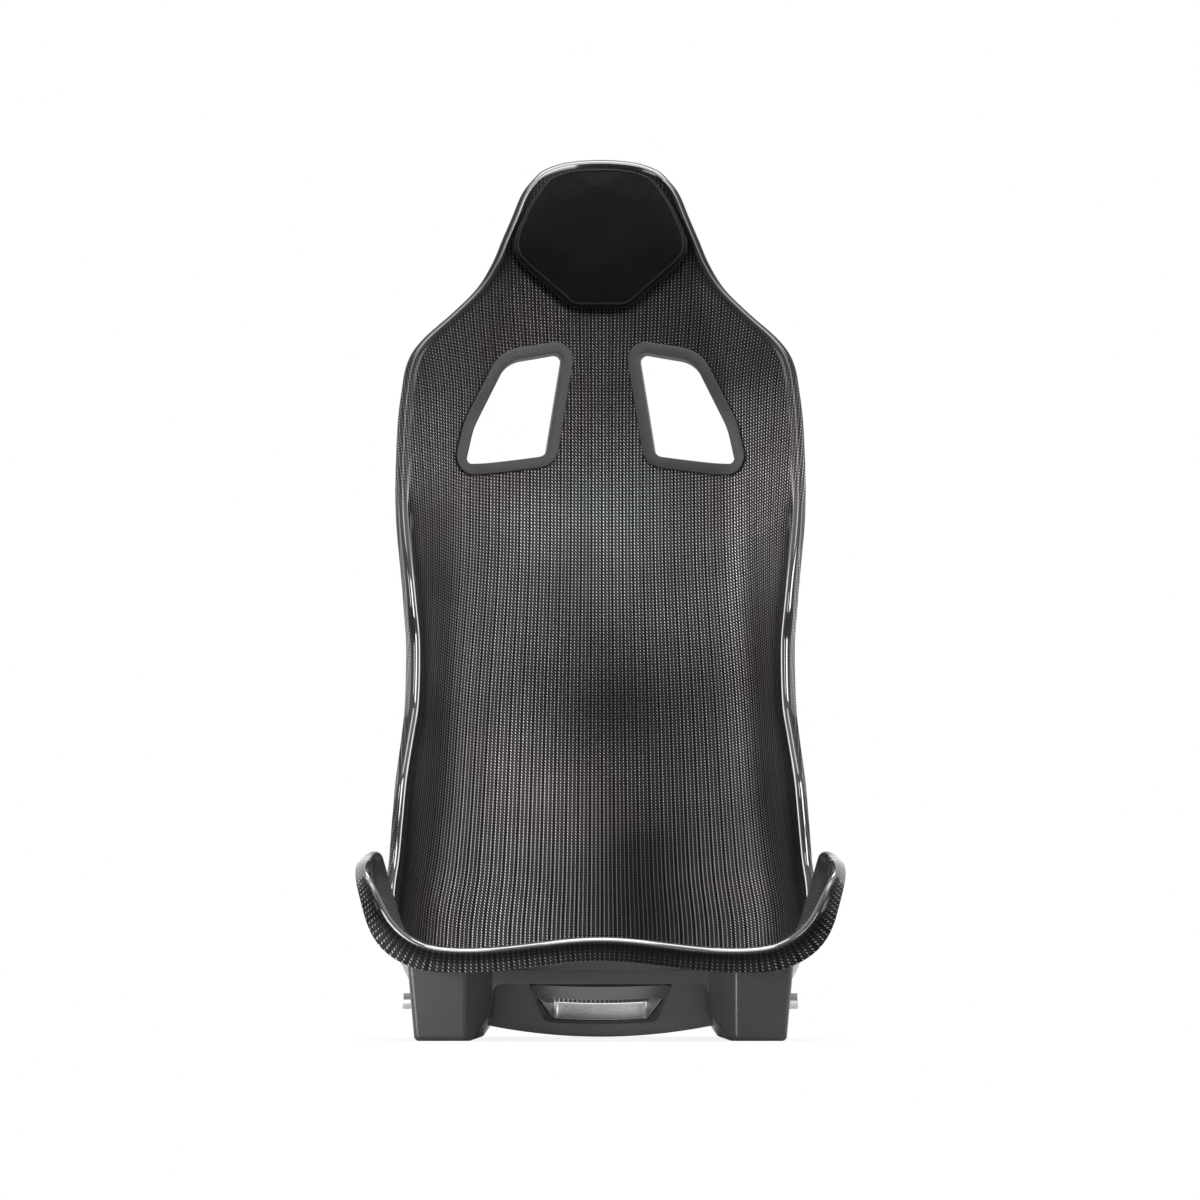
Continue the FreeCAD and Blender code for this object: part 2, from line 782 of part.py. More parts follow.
crotch_placement = touching_placement(SIZE["crotch_station"], 0.0)
half_length = 0.5 * SIZE["crotch_length"]
front_half = 0.5 * SIZE["crotch_front"]
rear_half = 0.5 * SIZE["crotch_rear"]
crotch_outline = outline("crotch_slot", crotch_placement, trapezoid(
    -half_length, half_length, front_half, rear_half, SIZE["crotch_corner"]))
crotch_spot = rectangle(SIZE["crotch_station"] - 75.0, SIZE["crotch_station"] + 50.0, -80.0, 80.0)
crotch_hole, crotch_bezel = slot_set(
    "crotch", crotch_outline, crotch_spot, "Sheet.crotch_bezel_width")
piece(crotch_bezel, "crotch_bezel")

frame_border = SIZE["frame_border"]
frame_outline = outline("crotch_frame_outline", crotch_placement, trapezoid(
    -half_length - SIZE["frame_reach"], half_length + frame_border,
    front_half + frame_border, rear_half + frame_border, frame_border))
frame_inner = offset_outline("crotch_frame_inner", crotch_outline, HOLE)
frame_sheet = curved_sheet(
    "crotch_frame_sheet", crotch_spot, SLOT_NET, BEHIND - SIZE["frame_height"], BEHIND)
piece(common("crotch_frame", frame_sheet, ring("crotch_frame_ring", frame_inner, frame_outline)),
      "crotch_frame")

# The skins with their slots. The carbon bucket is one moulding, given as three solids that meet
# face to face where a cross-section lies in a plane: low in the hips and under the shoulders.

SIDE_OF_ALL = 2000.0


def past_station(name, station):
    """Everything on the head's side of the cross-section at a station."""
    y, z, slope = centre_line(station)
    turn = FreeCAD.Rotation(Vector(1, 0, 0), math.degrees(slope))
    part = doc.addObject("Part::Box", name)
    part.Length = SIDE_OF_ALL
    part.Width = SIDE_OF_ALL
    part.Height = SIDE_OF_ALL
    corner = Vector(0, y, z) + turn.multVec(Vector(-0.5 * SIDE_OF_ALL, 0, -0.5 * SIDE_OF_ALL))
    part.Placement = FreeCAD.Placement(corner, turn)
    return part


slot_hole_left = mirrored_part("slot_hole_left", slot_hole)
slot_cutters = fused("slot_cutters", [slot_hole, slot_hole_left, crotch_hole])
bucket_cut = cut("bucket_cut", bucket_blank, slot_cutters)
above_hips = past_station("above_hips", SIZE["hip_split"])
above_shoulders = past_station("above_shoulders", SIZE["shoulder_split"])
back_and_head = common("back_and_head", bucket_cut, above_hips)
piece(cut("bucket_pan_cut", bucket_cut, above_hips), "bucket_pan")
piece(cut("bucket_back_cut", back_and_head, above_shoulders), "bucket_back")
piece(common("bucket_head_cut", back_and_head, above_shoulders), "bucket_head")
piece(cut("outer_shell_cut", outer_blank, slot_cutters), "outer_shell")
piece(cut("back_core_cut", back_core_blank, slot_cutters), "back_core")
piece(cut("pan_core_cut", pan_core_blank, slot_cutters), "pan_core")

# Head pad: a board, a crowned foam block and a cover, held by hook and loop patches

HOOK_LOW = SIZE["bezel_lift"]
HOOK_HIGH = HOOK_LOW + SIZE["patch_thickness"]
LOOP_LOW = HOOK_HIGH + SIZE["patch_gap"]
LOOP_HIGH = LOOP_LOW + SIZE["patch_thickness"]
BOARD_LOW = LOOP_HIGH + SIZE["patch_gap"]
BOARD_HIGH = BOARD_LOW + SIZE["board_thickness"]
FOAM_LOW = BOARD_HIGH + SIZE["patch_gap"]
FOAM_DEPTH = SIZE["cover_thickness"] + SIZE["patch_gap"]

pad = RolledSkin(pad_surface, pad_rim(), PAD_CORNERS, 26, 25, 8)
pad_cover = feature("pad_cover", pad.solid(0.0, SIZE["cover_thickness"]))
pad_foam = feature("pad_foam", pad.filled_solid(FOAM_DEPTH, FOAM_LOW))
pad_board = curved_sheet("pad_board", inside(pad.region, 0.0, 1.0, 1.0), (20, 20), BOARD_LOW, BOARD_HIGH)
piece(pad_cover, "head_pad_cover")
piece(pad_foam, "head_pad_foam")
piece(pad_board, "head_pad_board")

half_width = 0.5 * SIZE["patch_width"]
half_across = 0.5 * SIZE["patch_length"]
for row_name, offset in (("lower", -SIZE["patch_spread"]), ("upper", SIZE["patch_spread"])):
    middle = SIZE["pad_station"] + offset
    patch_spot = rectangle(middle - half_width, middle + half_width, -half_across, half_across)
    hook = curved_sheet("hook_" + row_name, patch_spot, (6, 12), HOOK_LOW, HOOK_HIGH)
    loop = curved_sheet("loop_" + row_name, patch_spot, (6, 12), LOOP_LOW, LOOP_HIGH)
    piece(hook, "hook_patch_" + row_name)
    piece(loop, "loop_patch_" + row_name)

# Base: two hollow runners joined by two cross panels, with its top cut to the belly

PLANE_ROLES = {"XY": "XY_Plane", "XZ": "XZ_Plane", "YZ": "YZ_Plane"}


def attached_sketch(body, name, plane, lift):
    """A sketch on one of its body's own planes, moved along the plane's normal by a formula."""
    sketch = body.newObject("Sketcher::SketchObject", name)
    role = PLANE_ROLES[plane]
    support = [item for item in body.Origin.OriginFeatures if item.Role == role][0]
    sketch.AttachmentSupport = [(support, "")]
    sketch.MapMode = "FlatFace"
    return bind(sketch, {"AttachmentOffset.Base.z": lift})


def polygon_sketch(body, name, plane, lift, corners):
    """A closed polygon; each corner is two formulas, bound to the sheet as distances."""
    sketch = attached_sketch(body, name, plane, lift)
    points = [Vector(amount(across), amount(up), 0) for across, up in corners]
    for index, point in enumerate(points):
        sketch.addGeometry(Part.LineSegment(point, points[(index + 1) % len(points)]), False)
    for index in range(len(points)):
        following = (index + 1) % len(points)
        sketch.addConstraint(Sketcher.Constraint("Coincident", index, 2, following, 1))
    for index, (across, up) in enumerate(corners):
        for kind, formula in (("DistanceX", across), ("DistanceY", up)):
            number = sketch.addConstraint(
                Sketcher.Constraint(kind, -1, 1, index, 1, amount(formula)))
            sketch.setExpression("Constraints[%d]" % number, formula)
    return sketch


def circle_sketch(body, name, plane, lift, centre, radius):
    sketch = attached_sketch(body, name, plane, lift)
    across, up = centre
    middle = Vector(amount(across), amount(up), 0)
    sketch.addGeometry(Part.Circle(middle, Vector(0, 0, 1), amount(radius)), False)
    bound = (
        (Sketcher.Constraint("Radius", 0, amount(radius)), radius),
        (Sketcher.Constraint("DistanceX", -1, 1, 0, 3, amount(across)), across),
        (Sketcher.Constraint("DistanceY", -1, 1, 0, 3, amount(up)), up),
    )
    for constraint, formula in bound:
        number = sketch.addConstraint(constraint)
        sketch.setExpression("Constraints[%d]" % number, formula)
    return sketch


def pad_out(body, name, sketch, length, against_normal=False):
    pad_feature = body.newObject("PartDesign::Pad", name)
    pad_feature.Profile = sketch
    pad_feature.Reversed = against_normal
    return bind(pad_feature, {"Length": length})


def pocket(body, name, sketch, length=None, both_ways=False):
    """Cut a sketch's outline out of the body, against the sketch's normal or both ways."""
    before = volume_of(body)
    hole = body.newObject("PartDesign::Pocket", name)
    hole.Profile = sketch
    if length is None:
        hole.Type = "ThroughAll"
    else:
        bind(hole, {"Length": length})
    hole.SideType = "Symmetric" if both_ways else "One side"
    if volume_of(body) >= before:
        raise ValueError(name + " cut nothing")
    return hole


def volume_of(body):
    doc.recompute()
    return body.Shape.Volume


FRONT = "Sheet.feet_front - Sheet.depth_centre"
END = FRONT + " + Sheet.base_length"


def runner(name, wall):
    """The right runner, or with a wall's thickness the hollow inside it."""
    body = doc.addObject("PartDesign::Body", name)
    front_lift = "Sheet.depth_centre - Sheet.feet_front - " + wall
    profile = polygon_sketch(body, name + "_profile", "XZ", front_lift, [
        ("Sheet.foot_inner + " + wall, wall),
        ("Sheet.foot_outer - " + wall, wall),
        ("Sheet.foot_shoulder - " + wall, "Sheet.runner_height"),
        ("Sheet.foot_waist + " + wall, "Sheet.runner_height"),
        ("Sheet.foot_waist + " + wall, "Sheet.waist_height"),
        ("Sheet.foot_knee + " + wall, "Sheet.knee_height"),
    ])
    pad_out(body, name + "_length", profile, "Sheet.base_length - " + wall + " - " + wall, True)
    nose = polygon_sketch(body, name + "_nose", "XY", "0", [
        ("Sheet.foot_waist - 10", FRONT + " - 10"),
        ("Sheet.foot_waist + Sheet.nose_width + " + wall, FRONT + " - 10"),
        ("Sheet.foot_waist + Sheet.nose_width + " + wall, FRONT + " + " + wall),
        ("Sheet.foot_waist + " + wall, FRONT + " + Sheet.nose_depth + " + wall),
        ("Sheet.foot_waist - 10", FRONT + " + Sheet.nose_depth + " + wall),
    ])
    pocket(body, name + "_nose_cut", nose, both_ways=True)
    tail = polygon_sketch(body, name + "_tail", "YZ", "0", [
        (END + " - " + wall, "Sheet.tail_height - " + wall),
        (END + " + 10", "Sheet.tail_height - " + wall),
        (END + " + 10", "Sheet.runner_height + 10"),
        (END + " - Sheet.tail_run - " + wall, "Sheet.runner_height + 10"),
    ])
    pocket(body, name + "_tail_cut", tail, both_ways=True)
    return body


def rounded_runner(body):
    """Round the runner's edges along the floor and at both ends."""
    names = []
    front = amount(FRONT)
    end = amount(END)
    nose_end = front + SIZE["nose_depth"] + 1.0
    for number, edge in enumerate(body.Shape.Edges, start=1):
        box = edge.BoundBox
        along_floor = box.ZMax < 0.1
        upright = box.ZLength > 0.7 * edge.Length
        at_an_end = box.YMax < nose_end or box.YMin > end - 0.1
        if along_floor or (upright and at_an_end):
            names.append("Edge%d" % number)
    unrounded = body.Tip
    rounding = body.newObject("PartDesign::Fillet", body.Name + "_rounding")
    rounding.Base = (unrounded, names)
    bind(rounding, {"Radius": "Sheet.runner_corner"})
    doc.recompute()
    return body


def box(name, sizes, corner):
    """A box with its sizes and lowest corner as formulas."""
    part = doc.addObject("Part::Box", name)
    for axis, formula in zip(("Length", "Width", "Height"), sizes):
        bind(part, {axis: formula})
    for axis, formula in zip("xyz", corner):
        bind(part, {"Placement.Base." + axis: formula})
    return part


def cross_panel(name, place, bottom):
    """A thin panel between the runners whose lower edge is rounded into them."""
    reach = "Sheet.foot_waist + Sheet.base_wall"
    panel = box(name + "_sheet", (reach + " + " + reach, "Sheet.base_wall", "Sheet.runner_height"),
                ("0 - Sheet.foot_waist - Sheet.base_wall", place, bottom + " - Sheet.panel_corner"))
    window = box(name + "_window", ("Sheet.foot_waist + Sheet.foot_waist", "3 * Sheet.base_wall",
                                    "Sheet.panel_corner + Sheet.panel_corner"),
                 ("0 - Sheet.foot_waist", place + " - Sheet.base_wall",
                  bottom + " - Sheet.panel_corner - Sheet.panel_corner"))
    doc.recompute()
    rounding = doc.addObject("Part::Fillet", name + "_rounding")
    rounding.Base = window
    top = window.Shape.BoundBox.ZMax
    chosen = [number for number, edge in enumerate(window.Shape.Edges, start=1)
              if edge.BoundBox.ZMin > top - 0.1 and edge.BoundBox.XLength < 0.1]
    rounding.Edges = [(number, SIZE["panel_corner"], SIZE["panel_corner"]) for number in chosen]
    return cut(name, panel, rounding)


BELLY_FIRST = 20.0
BELLY_LAST = 480.0
BELLY_GIRTH = 236.0
ENVELOPE_TOP = 400.0


def belly_envelope():
    """Everything above the glue line under the bucket, where the base reaches."""
    nets = []
    top = []
    bottom = []
    for along in spread(40, 0.0):
        net_row = []
        for across in spread(31, 0.0):
            station = BELLY_FIRST + along * (BELLY_LAST - BELLY_FIRST)
            girth = (2.0 * across - 1.0) * BELLY_GIRTH
            net_row.append(raised(carbon_surface, station, girth, -OUTER_BOTTOM - SIZE["bond_gap"]))
        bottom.append(net_row)
        top.append([Vector(point.x, point.y, ENVELOPE_TOP) for point in net_row])
    return closed_solid(sheet_faces(bottom, top))


belly = feature("belly", belly_envelope())
runner_right = rounded_runner(runner("runner", "0"))
hollow_right = runner("hollow", "Sheet.base_wall")
half_base = cut("half_base", runner_right, hollow_right)
half_base_left = mirrored_part("half_base_left", half_base)
front_panel = cross_panel("front_panel", FRONT + " + Sheet.nose_depth", "Sheet.panel_bottom")
rear_panel = cross_panel(
    "rear_panel", "Sheet.rear_panel_place - Sheet.depth_centre", "Sheet.rear_panel_bottom")
base_blank = fused("base_blank", [half_base, half_base_left, front_panel, rear_panel])
base_fitted = cut("base_fitted", base_blank, belly)

# Side mounts: threaded bushes through square insert plates in the runners

MOUNTS = {"front": "Sheet.mount_front - Sheet.depth_centre",
          "rear": "Sheet.mount_front + Sheet.mount_spacing - Sheet.depth_centre"}


def cylinder_along_x(name, radius, length, centre):
    part = doc.addObject("Part::Cylinder", name)
    part.Placement.Rotation = FreeCAD.Rotation(Vector(0, 1, 0), 90)
    bind(part, {"Radius": radius, "Height": length})
    for axis, formula in zip("xyz", centre):
        bind(part, {"Placement.Base." + axis: formula})
    return part


def bush(name, place):
    """A stainless bush with a blind threaded bore and a bevelled end."""
    body = doc.addObject("PartDesign::Body", name)
    centre = (place, "Sheet.mount_height")
    outside = circle_sketch(body, name + "_outside", "YZ", "Sheet.mount_face - Sheet.bush_length",
                            centre, "Sheet.bush_radius")
    pad_out(body, name + "_length", outside, "Sheet.bush_length")
    thread = circle_sketch(body, name + "_thread", "YZ", "Sheet.mount_face", centre, "Sheet.thread_radius")
    pocket(body, name + "_bore", thread, "Sheet.thread_length")
    face = SIZE["mount_face"]
    rim = [number for number, edge in enumerate(body.Shape.Edges, start=1)
           if edge.BoundBox.XMin > face - 0.1 and edge.BoundBox.YLength > 1.9 * SIZE["bush_radius"]]
    unbevelled = body.Tip
    bevel = body.newObject("PartDesign::Chamfer", name + "_bevel")
    bevel.Base = (unbevelled, ["Edge%d" % number for number in rim])
    bind(bevel, {"Size": "Sheet.bush_chamfer"})
    return body


bush_holes = []
for place_name, place in MOUNTS.items():
    centre = ("Sheet.plate_face - 10", place, "Sheet.mount_height")
    hole = cylinder_along_x(
        "bush_hole_" + place_name, "Sheet.bush_radius", "Sheet.bush_length + 20", centre)
    bush_holes += [hole, mirrored_part("bush_hole_left_" + place_name, hole)]
    plate_box = box("plate_box_" + place_name, ("Sheet.plate_size",) * 3, (
        "Sheet.plate_face",
        place + " - Sheet.plate_size / 2",
        "Sheet.mount_height - Sheet.plate_size / 2",
    ))
    plate_blank = common("plate_blank_" + place_name, plate_box, hollow_right)
    plate = cut("plate_" + place_name, plate_blank, hole)
    piece(plate, "insert_plate_%s_right" % place_name)
    piece(mirrored_part("plate_left_" + place_name, plate), "insert_plate_%s_left" % place_name)
    mount_bush = bush("bush_" + place_name, place)
    piece(mount_bush, "mount_bush_%s_right" % place_name)
    piece(mirrored_part("bush_left_" + place_name, mount_bush), "mount_bush_%s_left" % place_name)
piece(cut("base_moulding_cut", base_fitted, fused("bush_hole_set", bush_holes)), "base_moulding")

# Checks, then one file for each piece

doc.recompute()
for item in doc.Objects:
    if "Invalid" in item.State or "Error" in item.State:
        raise ValueError("%s is %s" % (item.Name, item.State))
for part in pieces:
    if part.Shape.isNull() or not part.Shape.isValid():
        raise ValueError(part.Label + " has no valid shape")
os.makedirs("parts", exist_ok=True)
for part in pieces:
    part.Shape.exportStep(os.path.join("parts", part.Label + ".step"))
    extent = part.Shape.BoundBox
    print("%-26s solids %d  volume %9.0f  x %7.1f %7.1f  y %7.1f %7.1f  z %7.1f %7.1f" % (
        part.Label, len(part.Shape.Solids), part.Shape.Volume,
        extent.XMin, extent.XMax, extent.YMin, extent.YMax, extent.ZMin, extent.ZMax))
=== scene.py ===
# %% [markdown]
# Racing seat: a moulded carbon bucket with a rolled rim, on a grey two-runner base
#
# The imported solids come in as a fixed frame, in metres, with +X to the right, the sitter facing -Y
# and +Z up. Everything made here sits in that frame: a new skin replaces a solid where the real
# object shows more than the solid does, and the other solids only get their finish.

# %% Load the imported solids
import functools
import math

import bmesh
import bpy
from mathutils import Matrix, Vector
from mathutils.bvhtree import BVHTree


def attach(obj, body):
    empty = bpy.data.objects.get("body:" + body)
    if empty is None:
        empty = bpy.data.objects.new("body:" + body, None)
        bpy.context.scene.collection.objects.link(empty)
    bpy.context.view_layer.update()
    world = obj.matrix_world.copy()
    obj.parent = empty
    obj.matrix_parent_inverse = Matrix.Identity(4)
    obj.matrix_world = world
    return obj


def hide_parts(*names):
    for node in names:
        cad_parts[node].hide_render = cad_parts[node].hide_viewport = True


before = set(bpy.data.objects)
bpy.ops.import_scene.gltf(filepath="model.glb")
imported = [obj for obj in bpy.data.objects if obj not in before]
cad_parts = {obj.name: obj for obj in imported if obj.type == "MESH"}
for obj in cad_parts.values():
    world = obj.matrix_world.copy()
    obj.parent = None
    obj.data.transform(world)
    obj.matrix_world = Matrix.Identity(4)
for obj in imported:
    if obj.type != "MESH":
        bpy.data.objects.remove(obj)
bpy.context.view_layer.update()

MM = 0.001

# %% [markdown]
# The camera stands low, just above the floor, and looks a little up at the seat.
#
# A short lens close by would make the lip look much larger than the head. The real picture shows
# little of that, so the camera is far away with a long lens: 116 mm on a 36 mm wide sensor.


# %% Camera
def placed(name, data):
    """A new object at the origin, linked to the scene."""
    made = bpy.data.objects.new(name, data)
    bpy.context.scene.collection.objects.link(made)
    return made


camera_data = bpy.data.cameras.new("camera")
camera = placed("camera", camera_data)
bpy.context.scene.camera = camera
camera.location = (0.0, -3.6757, 0.041)
camera.rotation_euler = (math.radians(95.83), 0.0, 0.0)
camera_data.sensor_width = 36.0
camera_data.lens = 115.86
camera_data.shift_x = -0.0004
camera_data.clip_start = 0.05
camera_data.clip_end = 60.0

# %% [markdown]
# The bucket's form
#
# A bucket seat is a sheet of cloth and resin laid in a mould. Its form is easiest to say in the
# sheet's own two lengths: the station, along the middle line from the front lip over the pan and up
# the back, and the girth, across the sheet from that line. The middle line is made of straight runs
# and bends, and across it the sheet has a wide floor, a bend and a straight side wall.
# These are the sizes that the solids were made from, in millimetres.

# %% Sizes of the form
LIP_DEPTH = 290.7
LIP_HEIGHT = 91.0
LIP_SLOPE = -6.0
HIP_RUN = 130.0 * math.radians(90.0)

# length of a run and the degrees that it turns through
MIDDLE_RUNS = [(50, -14), (186, 0), (HIP_RUN, 90), (150, 3), (300, 4), (230, 3), (160, 4)]

# station, half width of the floor, bend radius, wall angle, floor radius, rise between the legs
SECTIONS = [
    (0, 138, 60, 64, 1500, 15),
    (60, 132, 64, 69, 1100, 9),
    (130, 127, 70, 74, 750, 0),
    (236, 127, 76, 74, 540, 0),
    (440, 123, 78, 68, 500, 0),
    (590, 106, 80, 66, 480, 0),
    (740, 102, 80, 62, 460, 0),
    (890, 110, 82, 48, 430, 0),
    (1000, 112, 76, 37, 420, 0),
    (1110, 88, 100, 28, 380, 0),
    (1276, 50, 150, 22, 330, 0),
]
RISE_HALF_WIDTH = 135.0


# %% Smooth curves
def smooth_step(share):
    """From 0 to 1, level at both ends."""
    share = min(max(share, 0.0), 1.0)
    return share * share * (3.0 - 2.0 * share)


def on_curve(start, end, start_slope, end_slope, share):
    """A value on the smooth curve between two others, with its slope at both."""
    rise = smooth_step(share)
    value = start * (1.0 - rise) + end * rise
    return value + start_slope * share * (1.0 - share) ** 2 - end_slope * share ** 2 * (1.0 - share)


def row_slope(rows, index, column):
    """A column's slope at a row: level at an end and where the column turns back."""
    if index == 0 or index == len(rows) - 1:
        return 0.0
    before, after = ((rows[end][column] - rows[end - 1][column]) / (rows[end][0] - rows[end - 1][0])
                     for end in (index, index + 1))
    return 2.0 * before * after / (before + after) if before * after > 0.0 else 0.0


def between_rows(rows, place):
    """The other columns of a table at a place in its first column, on a smooth curve."""
    if place <= rows[0][0]:
        return rows[0][1:]
    if place >= rows[-1][0]:
        return rows[-1][1:]
    index = max(number for number, row in enumerate(rows) if row[0] <= place)
    first, second = rows[index], rows[index + 1]
    span = second[0] - first[0]
    return [on_curve(first[column], second[column], row_slope(rows, index, column) * span,
                     row_slope(rows, index + 1, column) * span, (place - first[0]) / span)
            for column in range(1, len(first))]


# %% The middle line and the surface over it
def middle_line(station):
    """y, z and slope of the middle line."""
    y, z, slope = -LIP_DEPTH, LIP_HEIGHT, math.radians(LIP_SLOPE)
    if station < 0:
        return y + station * math.cos(slope), z + station * math.sin(slope), slope
    left = station
    for length, turn in MIDDLE_RUNS:
        run = min(left, length)
        bend = math.radians(turn) / length
        if bend == 0.0:
            y += run * math.cos(slope)
            z += run * math.sin(slope)
        else:
            turned = slope + bend * run
            y += (math.sin(turned) - math.sin(slope)) / bend
            z -= (math.cos(turned) - math.cos(slope)) / bend
            slope = turned
        left -= run
    return y + left * math.cos(slope), z + left * math.sin(slope), slope


def bucket_point(station, girth):
    """A point of the bucket's inner face, in millimetres."""
    floor, bend_radius, wall, floor_radius, rise = between_rows(SECTIONS, station)
    wall = math.radians(wall)
    floor_turn = math.asin(floor / floor_radius)
    bend_start = floor_radius * floor_turn
    bend_end = bend_start + bend_radius * (wall - floor_turn)
    reach = abs(girth)
    if reach < bend_start:
        x = floor_radius * math.sin(reach / floor_radius)
        lift = floor_radius * (1.0 - math.cos(reach / floor_radius))
    else:
        turn = floor_turn + (min(reach, bend_end) - bend_start) / bend_radius
        past = max(reach - bend_end, 0.0)
        x = floor + bend_radius * (math.sin(turn) - math.sin(floor_turn)) + past * math.cos(wall)
        lift = floor_radius * (1.0 - math.cos(floor_turn))
        lift += bend_radius * (math.cos(floor_turn) - math.cos(turn)) + past * math.sin(wall)
    lift -= rise * smooth_step(x / RISE_HALF_WIDTH)
    y, z, slope = middle_line(station)
    return Vector((math.copysign(x, girth), y - lift * math.sin(slope), z + lift * math.cos(slope)))


def normal_of(surface, station, girth, step=0.5):
    """Unit normal of a surface over the bucket, towards the sitter."""
    along = surface(station + step, girth) - surface(station - step, girth)
    across = surface(station, girth + step) - surface(station, girth - step)
    return across.cross(along).normalized()


def over_bucket(station, girth, height):
    """A point that is a height over the bucket's inner face."""
    return bucket_point(station, girth) + normal_of(bucket_point, station, girth) * height


print("middle of the lip", [round(v, 1) for v in bucket_point(0, 0)])

# %% [markdown]
# The rim
#
# The sheet ends in a rolled edge: it turns outwards through a little over a right angle and goes on
# as a short flange, so nobody sits on a sharp edge. The rim is a smooth closed line through a few
# places round the bucket, each with its roll radius and the length of the flange there. The line
# has two corners on each side, low at the thigh wing and high beside the head, and these cut it
# into a lower, an upper and two side edges.

# %% The rim's line
# station, girth, roll radius, flange, from the middle of the lip to the middle of the head
RIM = [
    (0, 0, 7.5, 13.5), (0, 60, 7.5, 13.5), (0, 120, 7.5, 14), (0, 173, 7.5, 17),
    (2, 201, 7.5, 12.5), (13, 228.5, 7.5, 7), (40, 247.5, 7.5, 3), (100, 263, 7, 2),
    (170, 270, 6.5, 2), (236, 256, 6, 2), (340, 246.5, 6, 2), (440, 246, 6, 2),
    (482, 240.5, 6.5, 2), (530, 239.5, 7, 2), (566, 237.5, 7, 2.5), (615, 226, 7, 4),
    (652, 217.5, 7, 6), (716, 216.5, 7, 6), (763, 222.5, 7, 5), (850, 225, 7, 3),
    (950, 216, 7, 2), (1000, 209.5, 6, 2), (1034, 201.5, 6, 2), (1060, 186, 5.5, 2),
    (1096, 152, 5, 2), (1127, 125, 5, 2), (1157, 108, 5, 2), (1185, 97, 5, 2),
    (1212, 86.5, 5, 2), (1237, 77, 5, 2), (1252.5, 66.5, 5, 2), (1264, 55, 5, 2),
    (1272.5, 32.5, 5, 2), (1275.5, 0, 5, 2),
]
ROLL_TURN = math.radians(96.0)
HALVINGS = 40


# %% A closed line over the bucket
class Outline:
    """A smooth closed line over the bucket, mirrored about the middle, through rows of sizes."""

    def __init__(self, rows, low_corner, high_corner):
        self.rows = rows
        self.last = len(rows) - 1
        self.low_corner = low_corner
        self.high_corner = high_corner

    def near_row(self, number):
        """A row, or past either end the mirrored one."""
        station, girth, radius, flange = self.rows[min(abs(number), 2 * self.last - abs(number))]
        return station, girth if 0 <= number <= self.last else -girth, radius, flange

    def row(self, place):
        """Station, girth, roll radius and flange at a place counted in rows."""
        index = math.floor(place)
        rows = [self.near_row(index + step) for step in (-1, 0, 1, 2)]
        return [on_curve(start, end, 0.5 * (end - before), 0.5 * (after - start), place - index)
                for before, start, end, after in zip(*rows)]

    def place_where(self, column, wanted, low, high):
        """The place between low and high where a column takes a wanted value."""
        rising = self.row(high)[column] > self.row(low)[column]
        for _ in range(HALVINGS):
            middle = 0.5 * (low + high)
            if (self.row(middle)[column] < wanted) == rising:
                low = middle
            else:
                high = middle
        return 0.5 * (low + high)

    @functools.cache
    def end_place(self, share, lower):
        """The place on the lower or the upper edge at a share of the way out to the corner."""
        corner = self.low_corner if lower else self.high_corner
        low, high = (0, corner) if lower else (corner, self.last)
        return self.place_where(1, share * self.row(corner)[1], low, high)

    @functools.cache
    def side_place(self, share):
        """The place on the side edge at a share of the way up from the low corner."""
        low, high = self.row(self.low_corner)[0], self.row(self.high_corner)[0]
        return self.place_where(0, low + share * (high - low), self.low_corner, self.high_corner)

    @functools.cache
    def edge_rows(self, along, share):
        """The rows straight across, straight down and straight up from a spot."""
        side = self.row(self.side_place(along))
        return side, self.row(self.end_place(share, True)), self.row(self.end_place(share, False))

    def spot(self, along, across):
        """Station and girth at shares of the way up the outline and out from its middle."""
        share = abs(across)
        side, low, high = self.edge_rows(along, share)
        low_corner, high_corner = self.row(self.low_corner), self.row(self.high_corner)
        start, end = self.rows[0][0], self.rows[-1][0]
        station = (1 - share) * (start + along * (end - start)) + share * side[0]
        station += (1 - along) * low[0] + along * high[0]
        station -= (1 - share) * ((1 - along) * start + along * end)
        station -= share * ((1 - along) * low_corner[0] + along * high_corner[0])
        girth = share * side[1] + (1 - along) * low[1] + along * high[1]
        girth -= share * ((1 - along) * low_corner[1] + along * high_corner[1])
        return station, math.copysign(girth, across)


rim = Outline(RIM, 5, 30)
print("widest girth of the rim", round(max(rim.row(n / 10)[1] for n in range(10 * rim.last)), 1))

# %% [markdown]
# Weave
#
# The cloth is a two-by-two twill laid on the bias, so its diagonal ribs run up the seat. What the
# eye sees is columns of small beads. Draping pulls the columns together at the waist and lets them
# fan out at the pan, so each piece of the bucket carries its own map: u counts columns across the
# seat, v counts beads along it. The finish reads that map and the cloth follows the form.

# %% Columns and beads
# station, distance between columns, distance between beads
CLOTH = [
    (0, 4.5, 2.92),
    (440, 4.3, 2.95),
    (510, 4.05, 2.97),
    (680, 3.8, 3.17),
    (870, 3.5, 3.48),
    (1000, 3.52, 3.5),
    (1118, 3.87, 3.43),
    (1274, 4.1, 3.4),
]
FIRST_STATION = -60
LAST_STATION = 1360

beads_up_to = [0.0]
for station in range(FIRST_STATION, LAST_STATION):
    beads_up_to.append(beads_up_to[-1] + 1.0 / between_rows(CLOTH, station)[1])


def cloth_count(station, girth):
    """Columns from the middle and beads from the lip."""
    place = min(max(station - FIRST_STATION, 0.0), len(beads_up_to) - 1.001)
    index = int(place)
    beads = beads_up_to[index] + (place - index) * (beads_up_to[index + 1] - beads_up_to[index])
    return girth / between_rows(CLOTH, station)[0], beads


print("beads from lip to head", round(cloth_count(1274, 0)[1] - cloth_count(0, 0)[1]))
